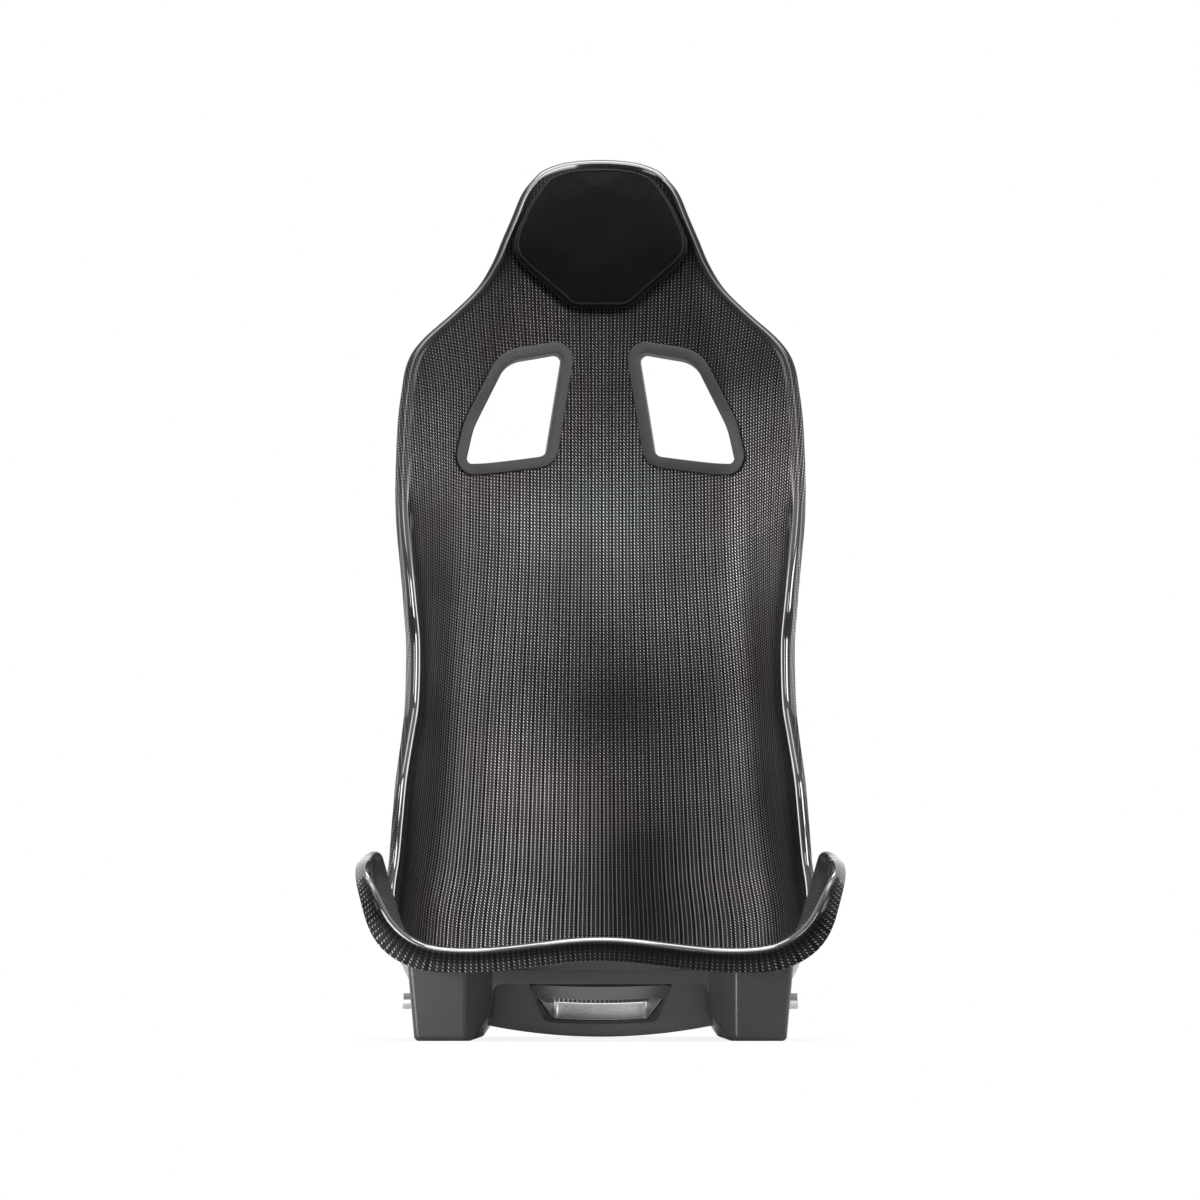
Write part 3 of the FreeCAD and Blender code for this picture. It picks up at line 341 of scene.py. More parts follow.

# %% [markdown]
# Helpers that turn a finished bmesh into a piece
#
# Every piece is its own object at the origin, with its place in its mesh. It rides on one of the
# seat's two bodies, takes a finish, and hides the solids that it stands for.


# %% From bmesh to piece
def mesh_of(name, form):
    """The mesh of a bmesh, which is freed."""
    mesh = bpy.data.meshes.new(name)
    form.to_mesh(mesh)
    form.free()
    return mesh


def as_piece(name, mesh, body, finishes, stands_for=()):
    """A smooth piece on its body, with its finishes and the solids that it replaces."""
    mesh.shade_smooth()
    made = placed(name, mesh)
    mesh.materials.clear()
    for finish in finishes:
        mesh.materials.append(finish)
    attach(made, body)
    if stands_for:
        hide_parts(*stands_for)
    return made


def with_modifiers(made):
    """A new mesh: an object's mesh after its modifiers."""
    depsgraph = bpy.context.evaluated_depsgraph_get()
    return bpy.data.meshes.new_from_object(
        made.evaluated_get(depsgraph), preserve_all_data_layers=True, depsgraph=depsgraph)


def triangles(made):
    """How many triangles an object has with its modifiers."""
    mesh = with_modifiers(made)
    count = sum(len(face.vertices) - 2 for face in mesh.polygons)
    bpy.data.meshes.remove(mesh)
    return count


# %% [markdown]
# Finishes are node trees. Their sums are written as Python expressions: Number wraps a socket and
# adds a Math node for each operation, and Finish makes any other node from its type, its settings
# and its inputs.


# %% Sums on sockets
class Number:
    """A socket that carries a number, with the usual operators."""

    def __init__(self, tree, socket):
        self.tree = tree
        self.socket = socket

    def math_of(self, operation, *values):
        """A Math node on numbers and Numbers."""
        node = self.tree.nodes.new("ShaderNodeMath")
        node.operation = operation
        for index, value in enumerate(values):
            if isinstance(value, Number):
                self.tree.links.new(value.socket, node.inputs[index])
            else:
                node.inputs[index].default_value = value
        return Number(self.tree, node.outputs[0])

    def math(self, operation, *others):
        return self.math_of(operation, self, *others)

    def __rsub__(self, other):
        return self.math_of("SUBTRACT", other, self)

    def clamped(self):
        return self.math("MAXIMUM", 0.0).math("MINIMUM", 1.0)

    def bell(self, middle, width):
        """One at the middle, falling smoothly to nothing about two widths away."""
        away = (self - middle) / width
        return (away * away * -1.0).math("EXPONENT")


OPERATORS = {
    "__add__": "ADD", "__radd__": "ADD", "__sub__": "SUBTRACT", "__mul__": "MULTIPLY",
    "__truediv__": "DIVIDE", "__lt__": "LESS_THAN", "floor": "FLOOR", "fraction": "FRACT",
    "wrapped": "FLOORED_MODULO", "cosine": "COSINE",
}
for method, operation in OPERATORS.items():
    setattr(Number, method, functools.partialmethod(Number.math, operation))


# %% Materials node by node
class Finish:
    """A material that is built up node by node."""

    def __init__(self, name, **constants):
        self.material = bpy.data.materials.new(name)
        self.material.use_nodes = True
        self.tree = self.material.node_tree
        self.shader = self.tree.nodes["Principled BSDF"]
        for socket, value in constants.items():
            self.shader.inputs[socket.replace("_", " ")].default_value = value

    def node(self, kind, settings=None, inputs=None):
        made = self.tree.nodes.new(kind)
        for name, value in (settings or {}).items():
            setattr(made, name, value)
        for name, value in (inputs or {}).items():
            if isinstance(value, Number):
                value = value.socket
            if isinstance(value, bpy.types.NodeSocket):
                self.tree.links.new(value, made.inputs[name])
            else:
                made.inputs[name].default_value = value
        return made

    def number(self, socket):
        return Number(self.tree, socket)

    def object_place(self):
        return self.node("ShaderNodeTexCoord").outputs["Object"]

    def noise(self, place, scale, detail=2.0, roughness=0.5):
        made = self.node("ShaderNodeTexNoise", None, {
            "Vector": place, "Scale": scale, "Detail": detail, "Roughness": roughness})
        return self.number(made.outputs["Fac"])

    def blend(self, share, first, second):
        """Two colours mixed by a number."""
        made = self.node("ShaderNodeMix", {"data_type": "RGBA"}, {
            0: share, 6: first, 7: second})
        return made.outputs[2]

    def ramp(self, share, stops):
        """A colour for each share, between stops of place and colour."""
        made = self.node("ShaderNodeValToRGB", None, {"Fac": share})
        while len(made.color_ramp.elements) < len(stops):
            made.color_ramp.elements.new(0.5)
        for element, (place, colour) in zip(made.color_ramp.elements, stops):
            element.position = place
            element.color = colour
        return made.outputs["Color"]

    def bump(self, height, strength, distance):
        made = self.node("ShaderNodeBump", None, {
            "Height": height, "Strength": strength, "Distance": distance})
        self.tree.links.new(made.outputs["Normal"], self.shader.inputs["Normal"])

    def feed(self, socket, value):
        if isinstance(value, Number):
            value = value.socket
        self.tree.links.new(value, self.shader.inputs[socket])


def grey(level, warm=0.0):
    """A grey from a screen level of 0 to 255, as the shader wants it, a little warm or cool."""
    linear = ((level / 255.0 + 0.055) / 1.055) ** 2.4 if level > 10 else level / 255.0 / 12.92
    return (linear * (1.0 + warm), linear, linear * (1.0 - warm), 1.0)


# %% [markdown]
# Carbon twill
#
# Each fibre bundle is about two millimetres wide and goes over two bundles and under two. On the
# bias, bundles of one direction catch the light while those of the other stay dark. In cell units,
# x and y count bundles: a bundle of the first direction is on top where the distance from its own
# start, wrapped to four, is under two. The height of each bundle goes to a bump, and its direction
# to the colour. The cloth was stitched in threes, so every third column is brighter, and beside it
# the gap is darkened with painted shade, as if it were deeper. More painted light and shade lies
# over the weave: painted shade in a band right of the middle, in a patch at the top of the pan and
# behind the head, and painted light to the right of the back with painted shade to its left. Round
# the rolled edge the resin lies thick and clear. Two attributes on the sheet say where: one fades
# the weave to the dark of deep resin, which round the roll and its flange is painted shade too, and
# gloss gives the clear coat, which stays on the very crest of the roll.


# %% The weave's form
RUN = 4.0
COLUMNS_IN_GROUP = 3.0
BRIGHT_COLUMN = 0.875
STITCHED_GAP = 0.375


def bundle_height(across, run):
    """A bundle's height: round across its width, and lower towards both ends of its run on top."""
    along = run - 1.0
    return (1.0 - across * across) * (1.0 - along * along * 0.8)


def weave(column, bead):
    """Whether a bundle of the first direction is on top, and the heights of both."""
    x = bead + column * 2.0
    y = bead - column * 2.0
    first_run = (y - x.floor()).wrapped(RUN)
    second_run = (x - y.floor() + 3.0).wrapped(RUN)
    return (first_run < RUN / 2.0, bundle_height(x.fraction() * 2.0 - 1.0, first_run),
            bundle_height(y.fraction() * 2.0 - 1.0, second_run))


def in_group(column, place):
    """One at a place in each group of columns, nothing half a group away."""
    return ((column - place) * (2.0 * math.pi / COLUMNS_IN_GROUP)).cosine() * 0.5 + 0.5


# %% Painted shade and light on the cloth
# beads counted at the middle of the painted shade patch, the top of the painted shade band and the
# head's foot
SHADE_PATCH_BEAD, SHADE_BAND_TOP_BEAD, HEAD_SHADE_BEAD = (
    cloth_count(station, 0.0)[1] for station in (690.0, 660.0, 890.0))
FADE_BEADS = 40.0


def painted_light_and_shade(column, bead):
    """Painted light and shade in the cloth's colour: painted shade in three places, painted light to
    the right of the back.
    """
    band = column.bell(10.0, 16.0) * ((SHADE_BAND_TOP_BEAD - bead) / FADE_BEADS).clamped() * 0.8
    patch = column.bell(4.0, 24.0) * bead.bell(SHADE_PATCH_BEAD, 26.0) * 0.8
    head = ((bead - HEAD_SHADE_BEAD) / FADE_BEADS).clamped() * (column * 0.002 + 0.66)
    turned = ((bead - SHADE_PATCH_BEAD) / 30.0).clamped() * column * 0.0045 + 1.0
    return (1.0 - band) * (1.0 - patch) * (1.0 - head) * turned


# %% Carbon finish
REDDISH = (1.07, 0.93, 0.97, 1.0)
GREENISH = (0.94, 1.03, 0.98, 1.0)
WHITE = (1.0, 1.0, 1.0, 1.0)


def carbon_finish(name, bright, dark):
    finish = Finish(name, Coat_Roughness=0.07, Coat_IOR=2.3, Specular_IOR_Level=0.1)
    cloth = finish.node("ShaderNodeUVMap", {"uv_map": "cloth"}).outputs["UV"]
    resin_and_shade, gloss = (
        finish.number(finish.node("ShaderNodeAttribute", {"attribute_name": layer}).outputs["Fac"])
        for layer in ("resin_and_shade", "gloss"))
    split = finish.node("ShaderNodeSeparateXYZ", None, {"Vector": cloth})
    column, bead = (finish.number(split.outputs[axis]) for axis in "XY")
    first_on_top, first_height, second_height = weave(column, bead)
    height = first_on_top * first_height + (1.0 - first_on_top) * second_height
    each_column = finish.node("ShaderNodeTexWhiteNoise", {"noise_dimensions": "1D"}, {
        "W": (column + 0.25).floor() + 0.5})
    tone = in_group(column, BRIGHT_COLUMN) * 0.22
    tone = tone + finish.number(each_column.outputs["Value"]) * 0.15
    ridge = first_height * first_height
    lit = first_on_top * ridge * ridge * (0.68 + tone)
    # Painted shade: bundles of the second direction are darker beside every third column, as in a
    # deeper gap.
    gap_painted_shade = in_group(column, STITCHED_GAP)
    lit = lit + (1.0 - first_on_top) * second_height * (0.08 - gap_painted_shade * 0.06)
    slow = finish.noise(cloth, 0.03, 2.0)
    # The weave's level, with painted light and shade laid over it.
    level = lit * (0.4 + slow * 0.9) * painted_light_and_shade(column, bead)
    elsewhere = finish.node("ShaderNodeMapping", None, {
        "Vector": cloth, "Location": (7.0, 31.0, 0.0)})
    tint = finish.ramp(finish.noise(elsewhere.outputs["Vector"], 0.022, 1.0), [
        (0.36, REDDISH), (0.5, WHITE), (0.64, GREENISH)])
    woven = finish.node("ShaderNodeMix", {"data_type": "RGBA", "blend_type": "MULTIPLY"}, {
        0: 0.8, 6: finish.blend(level, dark, bright), 7: tint})
    # Deep resin, and painted shade round the roll, fade the weave to near black.
    finish.feed("Base Color", finish.blend(resin_and_shade, woven.outputs[2], grey(9, -0.02)))
    finish.feed("Metallic", (first_on_top * 0.4 + 0.3) * (1.0 - resin_and_shade))
    finish.feed("Roughness", 0.42 - height * 0.08 - resin_and_shade * 0.1)
    finish.feed("Coat Weight", gloss)
    finish.bump(height * (1.0 - resin_and_shade * 0.8), 0.4, 0.0004)
    return finish.material


carbon = carbon_finish("carbon twill", (1.0, 0.98, 1.0, 1.0), (0.002, 0.002, 0.0022, 1.0))

# %% [markdown]
# Cut edges, gelcoat and trim
#
# The flange ends in a trimmed edge, where the resin shows a matt mid grey. The base is sprayed with
# dark grey gelcoat: smooth, satin, with slow clouds of tone and a slight orange peel. The frames
# round the harness slots are a satin grey moulding with a fine grain, and the crotch slot's collar
# is silver.


# %% Plain finishes
def sprayed_finish(name, level, roughness, peel_size, peel, coat=0.0):
    """A grey with slow clouds of tone and shine, and a fine orange peel."""
    finish = Finish(name, Coat_Weight=coat, Coat_Roughness=0.25, IOR=1.5)
    place = finish.object_place()
    clouds = finish.noise(place, 9.0, 3.0)
    peel_noise = finish.noise(place, peel_size, 2.0)
    finish.feed("Base Color", finish.ramp(clouds, [
        (0.3, grey(level * 0.93, 0.01)), (0.7, grey(level * 1.07, -0.01))]))
    finish.feed("Roughness", roughness + (clouds - 0.5) * 0.12)
    finish.bump(peel_noise, peel, 0.0003)
    return finish.material


edge_finish = sprayed_finish("trimmed edge", 62, 0.6, 900.0, 0.4)
gelcoat = sprayed_finish("grey gelcoat", 46, 0.38, 420.0, 0.18, 0.3)
# The shell's copy of the gelcoat is painted lighter: painted light for its belly, which lies in
# shade under the seat.
shell_gelcoat_painted_lighter = sprayed_finish("grey shell gelcoat, painted lighter", 82, 0.38, 420.0, 0.18, 0.3)
slot_trim = sprayed_finish("satin grey trim", 36, 0.48, 1400.0, 0.25)
# A darker copy of the trim for the walls of the slots: painted shade inside the tunnels.
tunnel_trim_painted_shade = sprayed_finish("satin grey trim, painted shade inside", 9, 0.55, 1400.0, 0.25)
pale_trim = sprayed_finish("satin silver trim", 140, 0.26, 1400.0, 0.1)
pale_trim.node_tree.nodes["Principled BSDF"].inputs["Metallic"].default_value = 0.85
black_trim = sprayed_finish("satin black trim", 30, 0.5, 1400.0, 0.25)
foam = sprayed_finish("core foam", 200, 0.9, 700.0, 0.9)
board = sprayed_finish("pad board", 34, 0.75, 500.0, 0.6)


# %% [markdown]
# A sheet with a rolled edge
#
# One grid covers the whole sheet: its inner cells are spread over the outline and its outer rows
# are the rolled edge. The four corner blocks of the grid have no place on the sheet, so they are
# deleted and the strips beside them meet on a shared edge, which is merged. The cells gather
# towards the edge, where the form bends most. The bucket is such a sheet, and so is the cover of
# its head pad.


# %% Resin and gloss
# station, how far thick resin and its gloss reach from the crest, how thick and how glossy it is
RESIN = [
    (0, 45, 8, 1, 1), (430, 70, 10, 1, 1), (510, 55, 10, 1, 1), (600, 30, 10, 1, 1),
    (850, 24, 9, 1, 0.9), (905, 8, 6, 0.35, 0.3), (1010, 9, 6, 0.35, 0.3),
    (1060, 12, 5, 0.9, 0.35), (1110, 15, 5, 1, 0.35), (1180, 30, 5, 1, 0.5), (1276, 30, 4, 1, 1),
]
DEEP_RESIN = 0.96
# where each starts to fall, over what length, and what is left of it then: first by the share of
# the way round the roll, then by how far the face has turned outwards, last by the station
# Round the lip's and the sides' roll and flange the resin's fall is painted shade: near black on the
# roll, about half dark below it.
LIP_RESIN_AND_SHADE = (0.6, 0.2, 0.5833)
SIDE_RESIN_AND_SHADE = (0.6, 0.2, 0.6875)
LIP_GLOSS = (0.22, 0.26, 0.06)
HEAD_GLOSS = (0.55, 0.2, 0.05)
SIDE_GLOSS = (0.3, 0.35, 0.12)
WING_CAP = (60.0, 40.0)


def fall(value, start, length, left=0.0):
    """One up to a start, then smoothly down over a length to what is left."""
    return 1.0 - (1.0 - left) * smooth_step((value - start) / length)


# %% A grid spread over an outline
GATHERS = (0.35, 0.5)
SHELL_GATHERS = (0.3, 0.4)


def grid_shares(form, columns, rows):
    """A new grid in a bmesh: its vertices with their shares of the way across and along it."""
    grid = bmesh.ops.create_grid(form, x_segments=columns, y_segments=rows, size=1.0)
    return [(vert, (vert.co.x + 1.0) / 2.0, (vert.co.y + 1.0) / 2.0) for vert in grid["verts"]]


def spread(across_share, along_share, gathers=GATHERS):
    """Across, from -1 to 1, and along, from 0 to 1, with the grid's cells gathered at the edges."""
    across, along = (share - gather * math.sin(2.0 * math.pi * share) / (2.0 * math.pi)
                     for share, gather in zip((across_share, along_share), gathers))
    return 2.0 * across - 1.0, along


def rolled(surface, outline, place, share, side):
    """A point of the rolled edge, its station and girth as if flat, and how far it faces out."""
    station, girth, radius, flange = outline.row(place)
    before, after = outline.row(place - 0.02), outline.row(place + 0.02)
    along = (surface(*after[:2]) - surface(*before[:2])).normalized()
    up = normal_of(surface, station, girth)
    out = along.cross(up).normalized()
    reach = share * (radius * ROLL_TURN + flange)
    turn = min(reach / radius, ROLL_TURN)
    past = max(reach - radius * ROLL_TURN, 0.0)
    point = surface(station, girth)
    point += out * radius * math.sin(turn) - up * radius * (1.0 - math.cos(turn))
    point += (out * math.cos(turn) - up * math.sin(turn)) * past
    flat = Vector((after[0] - before[0], after[1] - before[1])).normalized()
    facing = out * math.sin(turn) + up * math.cos(turn)
    away = facing.dot(Vector((out.x, 0.0, out.z)).normalized())
    point.x *= side
    return point, station - flat.y * reach, side * (girth + flat.x * reach), away


def sheet_spot(surface, outline, across, along, out_across, out_along):
    """A point of a sheet or of its roll, its station and girth, its resin with painted shade round
    the roll, and its gloss.
    """
    if out_along:
        share = abs(out_along)
        place = outline.end_place(abs(across), out_along < 0.0)
        *spot, away = rolled(surface, outline, place, share, math.copysign(1.0, across))
        if out_along > 0.0:
            return *spot, DEEP_RESIN, fall(away, *HEAD_GLOSS)
        return *spot, DEEP_RESIN * fall(share, *LIP_RESIN_AND_SHADE), fall(share, *LIP_GLOSS)
    if out_across:
        share = abs(out_across)
        point, station, girth, away = rolled(
            surface, outline, outline.side_place(along), share, math.copysign(1.0, out_across))
        thick, glossy = between_rows(RESIN, station)[2:]
        dulled = (1.0 - fall(away, *SIDE_GLOSS)) * (1.0 - fall(station, *WING_CAP))
        thick *= DEEP_RESIN * fall(share, *SIDE_RESIN_AND_SHADE)
        return point, station, girth, thick, glossy * (1.0 - dulled)
    station, girth = outline.spot(along, across)
    from_side = abs(outline.row(outline.side_place(along))[1]) * (1.0 - abs(across))
    from_edge = min(from_side, outline.spot(1.0, across)[0] - station)
    reach, gloss_reach, thick, glossy = between_rows(RESIN, station)
    thick *= DEEP_RESIN * fall(from_edge, 0.0, reach)
    glossy *= fall(from_edge, 0.0, gloss_reach)
    return surface(station, girth), station, girth, thick, glossy


# %% The rolled sheet
def rolled_sheet(surface, outline, rows, columns, roll):
    """The sheet as a bmesh in metres, with the cloth's count as its map."""
    sheet = bmesh.new()
    resin_and_shade = sheet.verts.layers.float.new("resin_and_shade")
    gloss = sheet.verts.layers.float.new("gloss")
    layer = sheet.loops.layers.uv.new("cloth")
    cloth = {}
    for vert, x_share, y_share in grid_shares(sheet, columns + 2 * roll, rows + 2 * roll):
        i = round(x_share * (columns + 2 * roll)) - roll
        j = round(y_share * (rows + 2 * roll)) - roll
        inner_i, inner_j = min(max(i, 0), columns), min(max(j, 0), rows)
        if i == inner_i or j == inner_j:
            across, along = spread(inner_i / columns, inner_j / rows)
            point, station, girth, vert[resin_and_shade], vert[gloss] = sheet_spot(
                surface, outline, across, along, (i - inner_i) / roll, (j - inner_j) / roll)
            vert.co = point * MM
            cloth[vert] = cloth_count(station, girth)
    spare = [face for face in sheet.faces if any(vert not in cloth for vert in face.verts)]
    bmesh.ops.delete(sheet, geom=spare, context="FACES")
    for face in sheet.faces:
        for loop in face.loops:
            loop[layer].uv = cloth[loop.vert]
    bmesh.ops.remove_doubles(sheet, verts=sheet.verts, dist=1e-5)
    face_the_sitter(sheet)
    return sheet


def face_the_sitter(sheet):
    """Turn all faces of an open sheet one way: out of the bucket's hollow."""
    bmesh.ops.recalc_face_normals(sheet, faces=sheet.faces)
    hollow = Vector((0.0, -0.1, 0.45))
    nearest = min(sheet.faces, key=lambda face: (face.calc_center_median() - hollow).length)
    if nearest.normal.dot(hollow - nearest.calc_center_median()) < 0.0:
        bmesh.ops.reverse_faces(sheet, faces=sheet.faces)


# %% [markdown]
# Slots
#
# Two slots take the shoulder belts and one, in the pan, the crotch belt. Each is drawn as a
# rounded outline in the plane that touches the bucket at the slot's middle, and goes through the
# skins square to that plane. So a place of a slot's frame is known by its spot in the plane and
# its height over the bucket, and the matching station and girth are found by a few corrections.


# %% Slot outlines
def rounded_line(corners, arc_steps, run_steps):
    """Places along a closed outline with rounded corners, each with its outward direction."""
    arcs = []
    for index, (x, y, radius) in enumerate(corners):
        corner = Vector((x, y))
        heading = (corner - Vector(corners[index - 1][:2])).normalized()
        leaving = (Vector(corners[(index + 1) % len(corners)][:2]) - corner).normalized()
        turn = math.atan2(heading.cross(leaving), heading.dot(leaving))
        bend = math.copysign(radius, turn)
        left = Vector((-heading.y, heading.x))
        centre = corner - heading * abs(bend * math.tan(turn / 2.0)) + left * bend
        arc = []
        for step in range(arc_steps + 1):
            facing = Matrix.Rotation(turn * step / arc_steps, 2) @ Vector((heading.y, -heading.x))
            arc.append((centre + facing * bend, facing))
        arcs.append(arc)
    places = []
    for index, arc in enumerate(arcs):
        places += arc
        start, facing = arc[-1]
        end = arcs[(index + 1) % len(arcs)][0][0]
        places += [(start.lerp(end, step / run_steps), facing) for step in range(1, run_steps)]
    return places


# %% A slot's plane
ARC_STEPS, RUN_STEPS = 8, 12
CORRECTIONS = 8
PRISM_REACH = 40.0


class Slot:
    """A slot's outline and the plane that it is drawn in."""

    def __init__(self, station, girth, corners):
        self.station = station
        self.girth = girth
        self.middle = bucket_point(station, girth)
        self.up = normal_of(bucket_point, station, girth)
        across = bucket_point(station, girth + 0.5) - bucket_point(station, girth - 0.5)
        self.along = self.up.cross(across).normalized()
        self.across = self.along.cross(self.up)
        self.places = rounded_line(corners, ARC_STEPS, RUN_STEPS)

    def grown(self, width):
        """The outline's places, moved outwards by a width."""
        return [spot + facing * width for spot, facing in self.places]

    def over(self, spot, height):
        """The point over a spot of the plane that is a height over the bucket."""
        station, girth = self.station + spot.y, self.girth + spot.x
        for _ in range(CORRECTIONS):
            point = over_bucket(station, girth, height)
            away = point - self.middle
            girth += spot.x - away.dot(self.across)
            station += spot.y - away.dot(self.along)
        return point

    def hole(self, width):
        """A prism through all skins, as a bmesh in metres."""
        line = self.grown(width)
        low = self.middle - self.up * PRISM_REACH
        prism = bmesh.new()
        disc = bmesh.ops.create_circle(prism, cap_ends=True, radius=1.0, segments=len(line))
        for vert, spot in zip(disc["verts"], line):
            vert.co = (low + self.across * spot.x + self.along * spot.y) * MM
        top = bmesh.ops.extrude_face_region(prism, geom=prism.faces[:])
        lifted = [item for item in top["geom"] if isinstance(item, bmesh.types.BMVert)]
        bmesh.ops.translate(prism, vec=self.up * 2.0 * PRISM_REACH * MM, verts=lifted)
        bmesh.ops.recalc_face_normals(prism, faces=prism.faces)
        return prism


# corners of the right harness slot: across, along, radius
HARNESS_CORNERS = [(-51, 68, 6.5), (-34, -47, 11), (50.5, -64, 4.5), (42, -24, 90), (6.5, 54, 32)]
CROTCH_CORNERS = [(-56, -27, 5), (56, -27, 5), (43, 27, 5), (-43, 27, 5)]
HOLE_GROWS = 2.2
harness_slot = Slot(1000.0, 90.0, HARNESS_CORNERS)
crotch_slot = Slot(179.0, 0.0, CROTCH_CORNERS)
print("places round a slot", len(harness_slot.places))

# %% [markdown]
# The bucket and the shell behind it
#
# The carbon bucket is 1.5 mm of laminate. A Solidify modifier gives the sheet that wall, away from
# the sitter, and its trimmed edge a second finish. Behind it, over a thin core, lies the outer
# shell that the base is bonded to: a plain sheet that stops short of the rim. The slots are cut
# through both by the prisms with Boolean modifiers, and the result is kept as the mesh, so that no
# prism stays in the scene.


# %% Two sheets with their slots
SKIN = 1.5
SHELL_DEPTH = 5.5
# shares of the rim's outline: where the shell starts along it and how far it goes along and across
SHELL_START, SHELL_RUN, SHELL_REACH = 0.012, 0.98, 0.975


def cut_slots(made, wall_thickness):
    """Give a sheet its wall, cut the slots out of it and keep the result."""
    wall = made.modifiers.new("wall", "SOLIDIFY")
    wall.thickness = wall_thickness * MM
    wall.offset = -1.0
    wall.use_even_offset = True
    wall.material_offset_rim = 1
    prisms = [slot.hole(HOLE_GROWS) for slot in (harness_slot, harness_slot, crotch_slot)]
    bmesh.ops.scale(prisms[1], vec=(-1.0, 1.0, 1.0), verts=prisms[1].verts)
    bmesh.ops.reverse_faces(prisms[1], faces=prisms[1].faces)
    cutters = [placed("prism", mesh_of("prism", prism)) for prism in prisms]
    for cutter in cutters:
        hole = made.modifiers.new("slot", "BOOLEAN")
        hole.object = cutter
        hole.solver = "EXACT"
    mesh = with_modifiers(made)
    made.modifiers.clear()
    made.data = mesh
    for cutter in cutters:
        bpy.data.objects.remove(cutter)
    mesh.set_sharp_from_angle(angle=math.radians(40.0))
    print(made.name, "triangles", triangles(made))


def shell_sheet(depth, rows, columns):
    """The outer shell's near face, as a bmesh in metres."""
    sheet = bmesh.new()
    for vert, x_share, y_share in grid_shares(sheet, columns, rows):
        across, along = spread(x_share, y_share, SHELL_GATHERS)
        spot = rim.spot(round(SHELL_START + along * SHELL_RUN, 6), round(across * SHELL_REACH, 6))
        vert.co = over_bucket(*spot, -depth) * MM
    face_the_sitter(sheet)
    return sheet


bucket = as_piece("bucket", mesh_of("bucket", rolled_sheet(bucket_point, rim, 250, 96, 9)), "seat",
                  [carbon, edge_finish], ["bucket_pan", "bucket_back", "bucket_head"])
cut_slots(bucket, SKIN)
# The shell's lighter gelcoat is painted light on its belly.
shell = as_piece("shell", mesh_of("shell", shell_sheet(SHELL_DEPTH, 150, 72)), "seat",
                 [shell_gelcoat_painted_lighter, edge_finish], ["outer_shell"])
cut_slots(shell, SKIN)

# %% [markdown]
# Frames round the slots
#
# Each slot is lined by a collar with a flat face round it, so that a belt doesn't chafe on the
# laminate, and a plain ring closes it from behind. Such a ring is a section carried round the
# outline: one grid, with the outline along it and the section across it, closed both ways by
# merging its ends. The crotch slot's collar stands up as a low coaming, which shows as two bright
# strips under the front lip.


# %% Rings round the slots
def slot_ring(name, slot, section, finishes, node, mirrored=False):
    """A ring round a slot; the section's corners are distance from its line, height and radius."""
    width = max(corner[0] for corner in section)
    around = list(zip(slot.grown(0.0), slot.grown(width)))
    profile = [spot for spot, facing in rounded_line(section, 3, 1)]
    ring = bmesh.new()
    for vert, x_share, y_share in grid_shares(ring, len(around), len(profile)):
        inner, outer = around[round(x_share * len(around)) % len(around)]
        corner = profile[round(y_share * len(profile)) % len(profile)]
        vert.co = slot.over(inner.lerp(outer, corner.x / width), corner.y) * MM
        if mirrored:
            vert.co.x = -vert.co.x
    bmesh.ops.remove_doubles(ring, verts=ring.verts, dist=1e-6)
    bmesh.ops.recalc_face_normals(ring, faces=ring.faces)
    up = Vector((-slot.up.x, slot.up.y, slot.up.z)) if mirrored else slot.up
    for face in ring.faces:
        # Faces across the slot, its walls, get the second finish: painted shade.
        face.material_index = int(abs(face.normal.dot(up)) < 0.5 and len(finishes) > 1)
    made = as_piece(name, mesh_of(name, ring), "seat", finishes, [node])
    made.data.set_sharp_from_angle(angle=math.radians(50.0))


BEZEL_SECTION = [(0, -9.2, 0.4), (1.6, -9.2, 0.4), (1.6, 0.2, 0.2), (12, 0.2, 0.2), (12, 2.6, 1.3),
                 (0, 2.6, 0.9)]
BACKING_SECTION = [(2.2, -9.2, 0.5), (14, -9.2, 1.0), (14, -7.2, 0.3), (2.2, -7.2, 0.3)]
COAMING_SECTION = [(0, -9.2, 0.4), (1.6, -9.2, 0.4), (1.6, 0.2, 0.2), (8, 0.2, 0.2), (8, 2.2, 0.9),
                   (3.4, 2.2, 1.0), (3.4, 7.4, 1.6), (0, 7.4, 1.4)]
for side, mirrored in (("right", False), ("left", True)):
    slot_ring("harness_frame_" + side, harness_slot, BEZEL_SECTION,
              [slot_trim, tunnel_trim_painted_shade], "harness_bezel_" + side, mirrored)
    slot_ring("harness_ring_" + side, harness_slot, BACKING_SECTION,
              [black_trim], "harness_backing_" + side, mirrored)
slot_ring("crotch_collar", crotch_slot, COAMING_SECTION, [pale_trim], "crotch_bezel")

# %% [markdown]
# The head pad
#
# A pad is a block of foam in a sewn cover, held to the bucket by hook and loop patches. Its face is
# crowned and its edge rolls down to the carbon. It starts as a rolled sheet like the bucket, a
# little low, over a surface that rises towards the pad's middle, and a second grid closes it from
# behind. A cloth simulation with a little pressure then fills the cover, as foam does: the mesh is
# remade in even cells, its back is pinned, and no point may move more than a few millimetres.

# %% The pad's closed form
# station and girth from the middle of the lower edge to the middle of the top
PAD_LINE = [(1120, 0), (1120, 14), (1121, 27), (1129, 37), (1149, 61), (1164, 79), (1173, 86),
            (1185, 86), (1202, 79.5), (1220, 71), (1237, 60), (1249, 50), (1257, 30), (1260, 0)]
PAD_STATION = 1186.0
PAD_HEIGHT = 24.5
PAD_CROWN = 8.0
PAD_ROLL = 9.0
PAD_BACK = 4.5
PAD_LIFT = 1.5
PAD_HALF_LENGTH, PAD_HALF_WIDTH = 76.0, 98.0


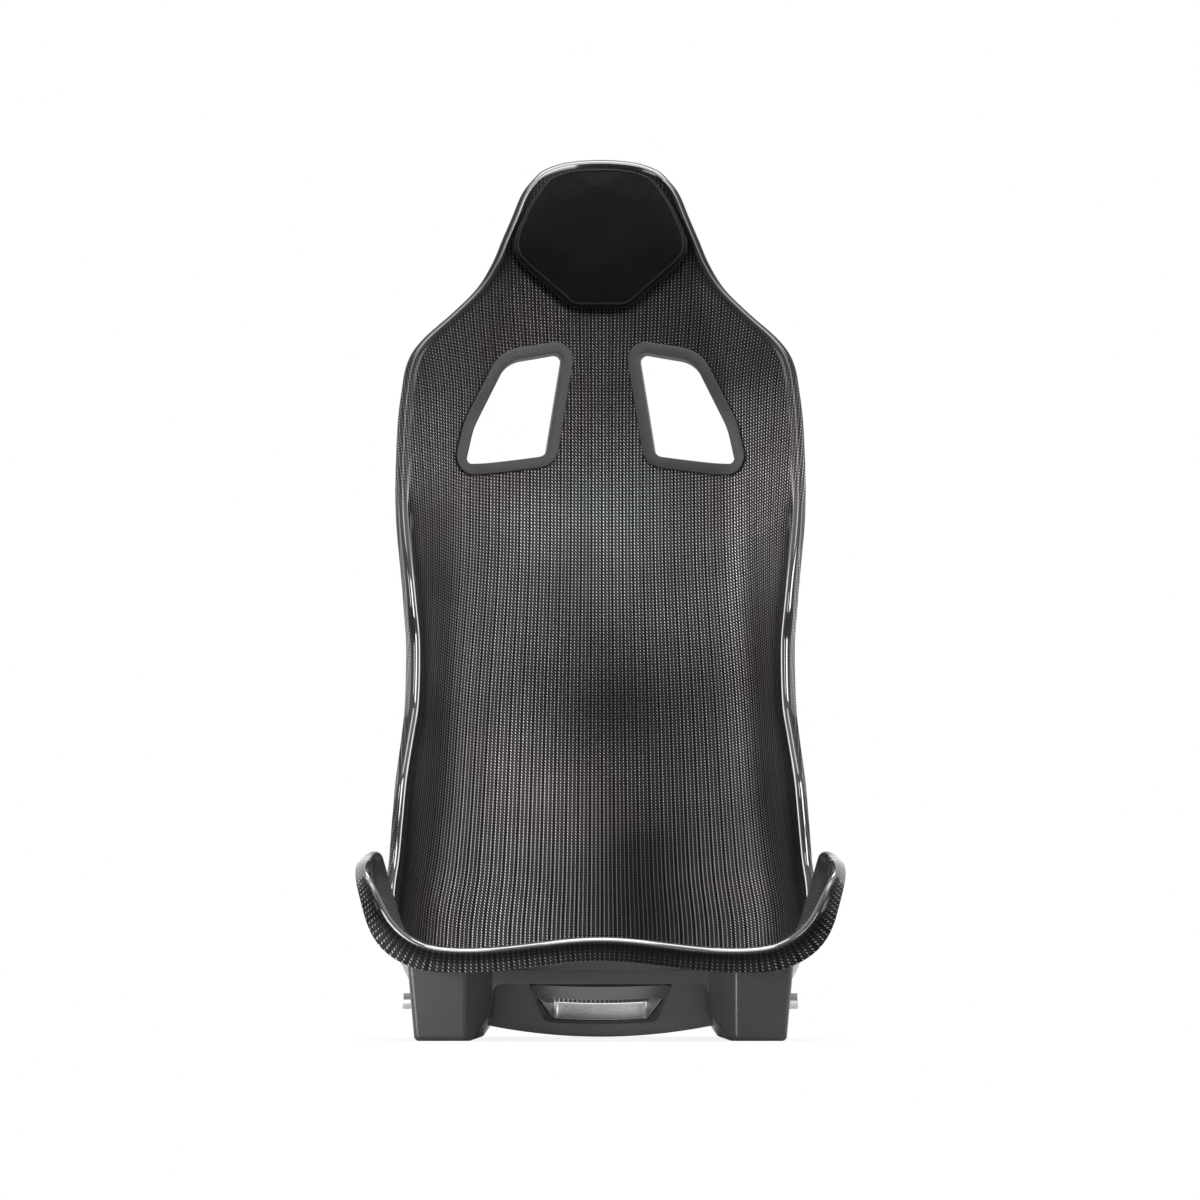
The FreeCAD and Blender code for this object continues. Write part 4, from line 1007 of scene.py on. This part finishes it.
def pad_rise(station, girth):
    """The cover's height over the bucket: most in its middle."""
    from_middle = ((station - PAD_STATION) / PAD_HALF_LENGTH) ** 2 + (girth / PAD_HALF_WIDTH) ** 2
    return PAD_HEIGHT - PAD_CROWN * from_middle


def pad_point(station, girth):
    return over_bucket(station, girth, pad_rise(station, girth))


def pad_flange(station, girth):
    """How far the cover's edge goes on below its roll, down to the bucket."""
    return pad_rise(station, girth) - PAD_ROLL * (1.0 - math.cos(ROLL_TURN)) - PAD_LIFT


pad_line = Outline([(*spot, PAD_ROLL, pad_flange(*spot)) for spot in PAD_LINE], 2, 10)


def closed_pad(rows, columns, roll):
    """The pad's cover, closed from behind, as a bmesh in metres."""
    pad = rolled_sheet(pad_point, pad_line, rows, columns, roll)
    front_edge = [edge for edge in pad.edges if edge.is_boundary]
    back_verts = set()
    for vert, x_share, y_share in grid_shares(pad, columns, rows):
        across, along = spread(x_share, y_share)
        vert.co = over_bucket(*pad_line.spot(round(along, 6), round(across, 6)), PAD_BACK) * MM
        back_verts.add(vert)
    back_edge = [edge for edge in pad.edges if edge.is_boundary and edge.verts[0] in back_verts]
    bmesh.ops.bridge_loops(pad, edges=front_edge + back_edge)
    bmesh.ops.recalc_face_normals(pad, faces=pad.faces)
    return pad


# %% Fill the cover
PAD_UP = normal_of(bucket_point, PAD_STATION, 0.0)
COVER_CELL = 4.0
COVER_PRESSURE = 4.0
COVER_FURTHEST = 3.0
LAST_FRAME = 20


def remade(mesh, cell):
    """The mesh in even cells of a size."""
    holder = placed("remade", mesh)
    remesh = holder.modifiers.new("cells", "REMESH")
    remesh.mode = "VOXEL"
    remesh.voxel_size = cell * MM
    even = with_modifiers(holder)
    bpy.data.objects.remove(holder)
    return even


def filled(mesh, pressure, furthest):
    """The mesh after a short cloth simulation with its back pinned."""
    holder = placed("filled", mesh)
    start = [vert.co.copy() for vert in mesh.vertices]
    pins = holder.vertex_groups.new(name="back")
    behind = [vert.index for vert in mesh.vertices if vert.normal.dot(PAD_UP) < -0.1]
    pins.add(behind, 1.0, "REPLACE")
    settings = holder.modifiers.new("cloth", "CLOTH").settings
    settings.vertex_group_mass = "back"
    settings.quality = 6
    settings.mass = 0.3
    settings.bending_stiffness = 2.0
    settings.use_pressure = True
    settings.uniform_pressure_force = pressure
    settings.effector_weights.gravity = 0.0
    scene = bpy.context.scene
    for frame_number in range(1, LAST_FRAME + 1):
        scene.frame_set(frame_number)
    moved = holder.evaluated_get(bpy.context.evaluated_depsgraph_get()).to_mesh()
    ends = [vert.co.copy() for vert in moved.vertices]
    scene.frame_set(1)
    bpy.data.objects.remove(holder)
    longest = 0.0
    for vert, before, after in zip(mesh.vertices, start, ends):
        away = after - before
        longest = max(longest, away.length)
        vert.co = before + away * min(1.0, furthest * MM / max(away.length, 1e-9))
    print("cover moved up to", round(longest / MM, 1), "mm, kept to", furthest)
    return mesh


def fabric_finish(name, level, shine, roughness):
    """A near black cloth with a fine nap."""
    finish = Finish(name, Specular_IOR_Level=shine, Sheen_Weight=0.05, Sheen_Roughness=0.4)
    place = finish.object_place()
    nap = finish.noise(place, 1500.0, 3.0, 0.7)
    patches = finish.noise(place, 28.0, 3.0)
    finish.feed("Base Color", finish.ramp(nap * 0.6 + patches * 0.4, [
        (0.3, grey(level - 7)), (0.7, grey(level + 7))]))
    finish.feed("Roughness", patches * 0.15 + roughness)
    finish.bump(nap, 0.5, 0.0003)
    return finish.material


pad_fabric = fabric_finish("black brushed fabric", 8, 0.07, 0.68)
piping_fabric = fabric_finish("black piping", 8, 0.2, 0.5)
pad_mesh = mesh_of("pad_mesh", closed_pad(24, 30, 6))
pad_mesh = filled(remade(pad_mesh, COVER_CELL), COVER_PRESSURE, COVER_FURTHEST)
pad = as_piece("head_cushion", pad_mesh, "head_pad", [pad_fabric],
               ["head_pad_cover", "head_pad_foam"])
rounding = pad.modifiers.new("rounding", "SUBSURF")
rounding.levels = rounding.render_levels = 1
print("pad triangles", triangles(pad))

# %% [markdown]
# The pad's seam
#
# The cover is sewn from a face and a band, and the seam between them runs round the roll, where it
# catches a thin line of light. It is a fine piping: a small circle carried round the edge, laid
# half into the cover's own surface.


# %% Piping
def pad_piping(radius, share, around, sides):
    """A round cord laid on the cover at a share of the way round its roll, as a bmesh."""
    tree = BVHTree.FromObject(pad, bpy.context.evaluated_depsgraph_get())
    line = []
    for index in range(around):
        turn = 2.0 * index / around
        place = (turn if turn <= 1.0 else 2.0 - turn) * pad_line.last
        point = rolled(pad_point, pad_line, place, share, 1.0 if turn <= 1.0 else -1.0)[0] * MM
        line.append(tree.find_nearest(point)[0])
    piping = bmesh.new()
    for vert, x_share, y_share in grid_shares(piping, around, sides):
        i = round(x_share * around) % around
        angle = math.pi * (2.0 * y_share - 1.0)
        along = (line[(i + 1) % around] - line[i - 1]).normalized()
        out = along.cross(PAD_UP).normalized()
        up = out.cross(along)
        vert.co = line[i] + (out * math.cos(angle) + up * math.sin(angle)) * radius * MM
    bmesh.ops.remove_doubles(piping, verts=piping.verts, dist=1e-6)
    bmesh.ops.recalc_face_normals(piping, faces=piping.faces)
    return piping


as_piece("head_cushion_piping", mesh_of("piping", pad_piping(1.1, 0.25, 160, 10)), "head_pad",
         [piping_fabric])

# %% [markdown]
# Finish for the solids that stay
#
# Solids whose shape is right keep it. Hook and loop tape, foam, plates and bushes only need their
# own surface.


# %% Metal, tape and fabric
def metal_finish(name, level, roughness, turned_at=None):
    """Bare metal with straight marks, or with rings round an axis along x at a y and z."""
    finish = Finish(name, Metallic=1.0)
    place = finish.object_place()
    if turned_at is None:
        stretched = finish.node("ShaderNodeMapping", None, {
            "Vector": place, "Scale": (1.0, 60.0, 1.0)})
        marks = finish.noise(stretched.outputs["Vector"], 60.0, 3.0)
    else:
        centred = finish.node("ShaderNodeMapping", None, {
            "Vector": place, "Location": (0.0, -turned_at[0], -turned_at[1]),
            "Scale": (0.0, 1.0, 1.0)})
        rings = finish.node("ShaderNodeTexWave", {"wave_type": "RINGS", "rings_direction": "X"}, {
            "Vector": centred.outputs["Vector"], "Scale": 420.0, "Distortion": 1.2, "Detail": 2.0})
        marks = finish.number(rings.outputs["Fac"])
    finish.feed("Base Color", finish.ramp(marks, [
        (0.2, grey(level - 14)), (0.8, grey(level + 10))]))
    finish.feed("Roughness", roughness + marks * 0.12)
    finish.bump(marks, 0.2, 0.0001)
    return finish.material


def tape_finish(name, level, scale):
    finish = Finish(name, Roughness=0.95, Sheen_Weight=0.25)
    place = finish.object_place()
    hooks = finish.node("ShaderNodeTexVoronoi", None, {"Vector": place, "Scale": scale})
    tuft = finish.number(hooks.outputs["Distance"])
    finish.feed("Base Color", finish.ramp(tuft, [(0.0, grey(level + 22)), (0.6, grey(level))]))
    finish.bump(tuft, 0.8, 0.0006)
    return finish.material


plate_metal = metal_finish("machined aluminium", 190, 0.32)
BUSH_HEIGHT = 0.035
front_bush, rear_bush = (metal_finish("turned stainless, " + end, 225, 0.25, (y, BUSH_HEIGHT))
                         for end, y in (("front", -0.2107), ("rear", 0.0793)))
hook_tape = tape_finish("hook tape", 20, 900.0)
loop_tape = tape_finish("loop tape", 24, 1500.0)

SOLID_FINISHES = {
    "outer_shell": gelcoat, "back_core": foam, "pan_core": foam, "base_moulding": gelcoat,
    "harness_bezel": slot_trim, "harness_backing": black_trim, "crotch_bezel": slot_trim,
    "crotch_frame": gelcoat, "hook_patch": hook_tape, "loop_patch": loop_tape,
    "head_pad_cover": black_trim, "head_pad_foam": foam, "head_pad_board": board,
    "insert_plate": plate_metal, "mount_bush_front": front_bush, "mount_bush_rear": rear_bush,
    "bucket": carbon,
}
for node_name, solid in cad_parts.items():
    chosen = next(SOLID_FINISHES[start] for start in SOLID_FINISHES if node_name.startswith(start))
    solid.data.materials.clear()
    solid.data.materials.append(chosen)

# %% [markdown]
# Floor, light and background
#
# The seat stands in a white room. The floor keeps a soft shadow near the seat and turns to plain
# white further out, where the camera sees it, so that no edge shows between floor and backdrop.


# %% Floor
def stage_floor():
    plane = bmesh.new()
    bmesh.ops.create_grid(plane, x_segments=1, y_segments=1, size=12.0)
    mesh = mesh_of("floor", plane)
    floor = placed("floor", mesh)
    finish = Finish("studio floor", Roughness=0.9, Base_Color=(0.8, 0.8, 0.8, 1.0))
    tree = finish.tree
    glow = finish.node("ShaderNodeEmission", None, {"Color": WHITE, "Strength": 1.0})
    away = finish.node("ShaderNodeVectorMath", {"operation": "LENGTH"}, {0: finish.object_place()})
    far = finish.node("ShaderNodeMapRange", {"interpolation_type": "SMOOTHSTEP"}, {
        "Value": away.outputs["Value"], "From Min": 0.25, "From Max": 0.8,
        "To Min": 0.86, "To Max": 1.0})
    ray = finish.node("ShaderNodeLightPath")
    seen = finish.number(ray.outputs["Is Camera Ray"])
    bounced = finish.number(ray.outputs["Is Diffuse Ray"])
    mix = finish.node("ShaderNodeMixShader", None, {
        0: seen * finish.number(far.outputs["Result"]) + bounced * 0.8})
    tree.links.new(finish.shader.outputs[0], mix.inputs[1])
    tree.links.new(glow.outputs[0], mix.inputs[2])
    tree.links.new(mix.outputs[0], tree.nodes["Material Output"].inputs["Surface"])
    mesh.materials.append(finish.material)


stage_floor()

# %% [markdown]
# Lamps
#
# A dark glossy form is drawn by what it mirrors. The room is bright behind, above and beside the
# seat and dim where the camera stands, so the hollow of the bucket stays dark and the rim gets its
# line of light. A soft lamp from the front and right wakes the cloth left of the middle, a weaker
# one answers it from the left, and a low one lights the left foot. A wide lamp hangs above, one in
# front of it draws the pad's crown, one behind lights the crotch opening, and strips at both sides
# draw the rim's crest.


# %% Lamps and room
def soft_lamp(name, place, aim, width, height, power):
    """A rectangle of light of a size in metres and a power in watts, aimed at a point."""
    data = bpy.data.lights.new(name, "AREA")
    data.shape = "RECTANGLE"
    data.size = width
    data.size_y = height
    data.energy = power
    lamp = placed(name, data)
    lamp.location = place
    lamp.rotation_euler = (Vector(aim) - Vector(place)).to_track_quat("-Z", "Y").to_euler()


MIDDLE = (0.0, 0.0, 0.5)
soft_lamp("front", (0.75, -2.0, 1.85), MIDDLE, 0.8, 0.8, 16.5)
soft_lamp("low", (-0.48, -0.8, 0.1), (-0.17, -0.3, 0.0), 0.3, 0.12, 2.6)
soft_lamp("top", (0.0, 0.1, 2.4), MIDDLE, 1.8, 0.9, 24.0)
soft_lamp("front left", (-0.75, -2.0, 1.85), MIDDLE, 0.3, 0.5, 2.8)
soft_lamp("crown", (0.0, -0.55, 1.75), (0.0, -0.55, 1.0), 0.5, 1.2, 5.6)
soft_lamp("back top", (0.0, 0.95, 2.3), (0.0, 0.05, 0.03), 0.6, 0.4, 4.0)
for side in (-1.0, 1.0):
    soft_lamp("crest strip", (side * 2.0, -0.3, 1.2), (0.0, 0.0, 0.9), 0.8, 1.5, 16.0)
    soft_lamp("side strip", (side * 1.5, 0.55, 0.8), MIDDLE, 0.3, 1.4, 6.0)

world = bpy.data.worlds.new("studio")
bpy.context.scene.world = world
world.use_nodes = True
room = world.node_tree
facing = room.nodes.new("ShaderNodeSeparateXYZ")
room.links.new(room.nodes.new("ShaderNodeTexCoord").outputs["Generated"], facing.inputs["Vector"])
behind = Number(room, facing.outputs["Y"]) * 0.9 + 0.75 + Number(room, facing.outputs["Z"]) * 0.35
seen = Number(room, room.nodes.new("ShaderNodeLightPath").outputs["Is Camera Ray"])
strength = seen + (1.0 - seen) * behind.math("MINIMUM", 1.0).math("MAXIMUM", 0.14)
room.links.new(strength.socket, room.nodes["Background"].inputs["Strength"])
room.nodes["Background"].inputs["Color"].default_value = WHITE
bpy.context.scene.view_settings.view_transform = "Standard"
